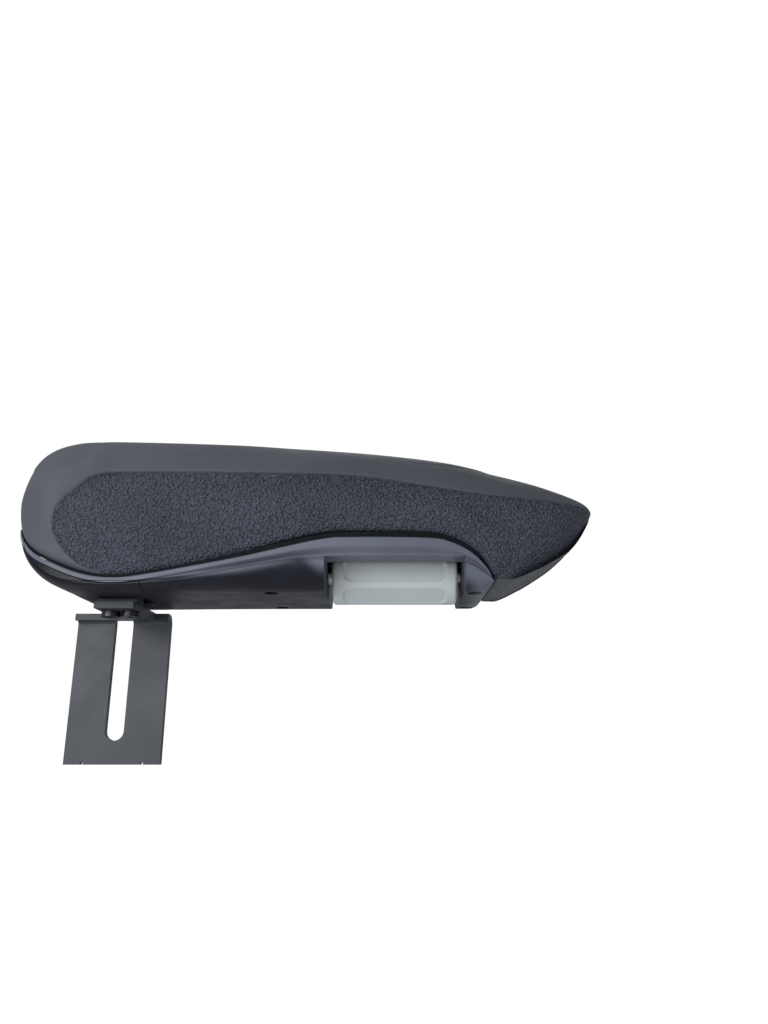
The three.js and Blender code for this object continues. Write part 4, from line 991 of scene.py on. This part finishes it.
# %% Coat and metals
def powder_coat():
    """Semi-gloss black coat: two scales of peel and a drifting gloss."""
    material, tree, shader = new_material("powder_coat", (0.031, 0.035, 0.042), 0.4)
    tone = ramp(tree, noise(tree, 30, 4).outputs["Fac"], (0.036, 0.041, 0.051), (0.050, 0.056, 0.066))
    tree.links.new(tone, shader.inputs["Base Color"])
    tree.links.new(ramp(tree, noise(tree, 55, 4).outputs["Fac"], 0.34, 0.46), shader.inputs["Roughness"])
    peel = bump(tree, shader, noise(tree, 520, 2).outputs["Fac"], 0.00012, 0.35)
    bump(tree, shader, noise(tree, 1900, 2).outputs["Fac"], 0.00005, 0.4, peel)
    shader.inputs["Specular IOR Level"].default_value = 0.2
    shader.inputs["Coat Weight"].default_value = 0.03
    shader.inputs["Coat Roughness"].default_value = 0.25
    return material


def metal(name, dark, light, roughness, grain):
    """Bare metal: a mottled colour, a mottled gloss and a fine grain."""
    material, tree, shader = new_material(name, dark, roughness, 1.0)
    tree.links.new(ramp(tree, noise(tree, 220, 4).outputs["Fac"], dark, light), shader.inputs["Base Color"])
    gloss = ramp(tree, noise(tree, 400, 3).outputs["Fac"], roughness - 0.06, roughness + 0.1)
    tree.links.new(gloss, shader.inputs["Roughness"])
    bump(tree, shader, noise(tree, grain, 3).outputs["Fac"], 0.00004, 0.5)
    return material


coat_finish = powder_coat()
steel_finish = metal("zinc_plate", (0.48, 0.49, 0.50), (0.62, 0.63, 0.63), 0.34, 1800)
oxide_finish = metal("black_oxide", (0.035, 0.036, 0.040), (0.06, 0.061, 0.066), 0.4, 1800)
bronze_finish = metal("sintered_bronze", (0.36, 0.23, 0.11), (0.48, 0.32, 0.16), 0.5, 4200)
bracket.data.materials.append(coat_finish)
print("metals:", coat_finish.name, steel_finish.name, bronze_finish.name)

# %% Finishes for the pieces that stay as they are
finish_of = {
    "plated_steel": steel_finish,
    "blackened_steel": oxide_finish,
    "bronze": bronze_finish,
    "nylon": nylon_finish,
    "bracket_paint": coat_finish,
    # the inner casing-plastic pieces take the near-black copy, which is painted shade
    "casing_plastic": inner_painted_shade_finish,
}
slot_of = {part["node"]: part["material_slot"] for part in frame["record"]["subparts"]}
carried = 0
for name, node in frame["nodes"].items():
    if node.hide_render:
        continue
    node.data.materials.clear()
    node.data.materials.append(finish_of[slot_of[name]])
    carried += 1
print("carried-over pieces given a finish:", carried)

# %% [markdown]
# ## Studio
# A pale floor well below, a white surround, and soft lights above, at the side, behind and below.
# The surround looks white to the camera and gives only part of its light to the object, so that
# the dark plastics keep their depth.

# %% Floor, surround and lights
FLOOR_DROP = 0.55


def studio_floor():
    """Flat pale disc: (r cos t, r sin t) on rings of growing radius, under the arm's middle."""
    t = np.linspace(0, 2 * math.pi, 96, endpoint=False)
    radii = np.array([0.0001, 0.3, 0.6, 0.9])[:, None]
    x, y = at(110) + radii * np.cos(t), PIVOT[1] + radii * np.sin(t)
    grid = np.stack([x, y, np.full_like(x, PIVOT[2] - FLOOR_DROP)], axis=-1)
    index = np.arange(grid.shape[0] * 96).reshape(-1, 96)
    nxt = np.roll(index, -1, axis=1)
    quads = np.stack([index[:-1], index[1:], nxt[1:], nxt[:-1]], axis=-1).reshape(-1, 4)
    mesh = bpy.data.meshes.new("studio_floor")
    mesh.from_pydata(grid.reshape(-1, 3), [], quads.tolist())
    mesh.update()
    floor = bpy.data.objects.new("studio_floor", mesh)
    bpy.context.scene.collection.objects.link(floor)
    return floor


floor = studio_floor()
floor_finish, _, _ = new_material("pale_floor", (0.82, 0.82, 0.82), 0.9)
floor.data.materials.append(floor_finish)

world = bpy.data.worlds.new("surround")
bpy.context.scene.world = world
world.use_nodes = True
sky = world.node_tree
sky.nodes.clear()
seen = add(sky, "ShaderNodeBackground", Color=(1, 1, 1, 1), Strength=1.02)
given = add(sky, "ShaderNodeBackground", Color=(0.93, 0.96, 1.0, 1), Strength=0.36)
which = add(sky, "ShaderNodeLightPath").outputs["Is Camera Ray"]
both = add(sky, "ShaderNodeMixShader", {0: which, 1: given.outputs[0], 2: seen.outputs[0]})
add(sky, "ShaderNodeOutputWorld", {"Surface": both.outputs[0]})


def soft_light(name, place, target, size, power, colour=(1, 1, 1)):
    """Square area light turned towards a target."""
    data = bpy.data.lights.new(name, "AREA")
    data.size, data.energy, data.color = size, power, colour
    light = bpy.data.objects.new(name, data)
    light.location = place
    direction = Vector(target) - Vector(place)
    light.rotation_euler = direction.to_track_quat("-Z", "Y").to_euler()
    bpy.context.scene.collection.objects.link(light)


aim = Vector((at(160), PIVOT[1], up(10)))
soft_light("key_above", aim + Vector((-0.5, -0.25, 0.45)), aim - Vector((0.14, 0, 0)), 0.5, 1.3)
soft_light("fill_front", aim + Vector((-0.55, -0.85, 0.1)), aim - Vector((0.1, 0, 0)), 0.7, 8.8)
soft_light("rim_behind", aim + Vector((0.1, 0.9, 0.55)), aim, 0.6, 1.2)
soft_light("under_nose", aim + Vector((0.35, -0.35, -0.4)), aim + Vector((0.1, 0, 0)), 0.4, 0.4)
print("studio:", len(bpy.data.lights), "lights")

# %% [markdown]
# ## Camera
# The arm is looked at from its outer side and from a little below, close enough for a wide lens.

# %% Camera
UP_ANGLE = math.radians(16.5)
DISTANCE = 0.454
camera_data = bpy.data.cameras.new("camera")
camera_data.lens = 27.03
camera_data.sensor_width = 36
camera = bpy.data.objects.new("camera", camera_data)
look = Vector((0, math.cos(UP_ANGLE), math.sin(UP_ANGLE)))
camera.location = aim - DISTANCE * look
camera.rotation_euler = look.to_track_quat("-Z", "Y").to_euler()
bpy.context.scene.collection.objects.link(camera)
bpy.context.scene.camera = camera
bpy.context.scene.view_settings.view_transform = "Standard"
print("camera", [round(v, 3) for v in camera.location])
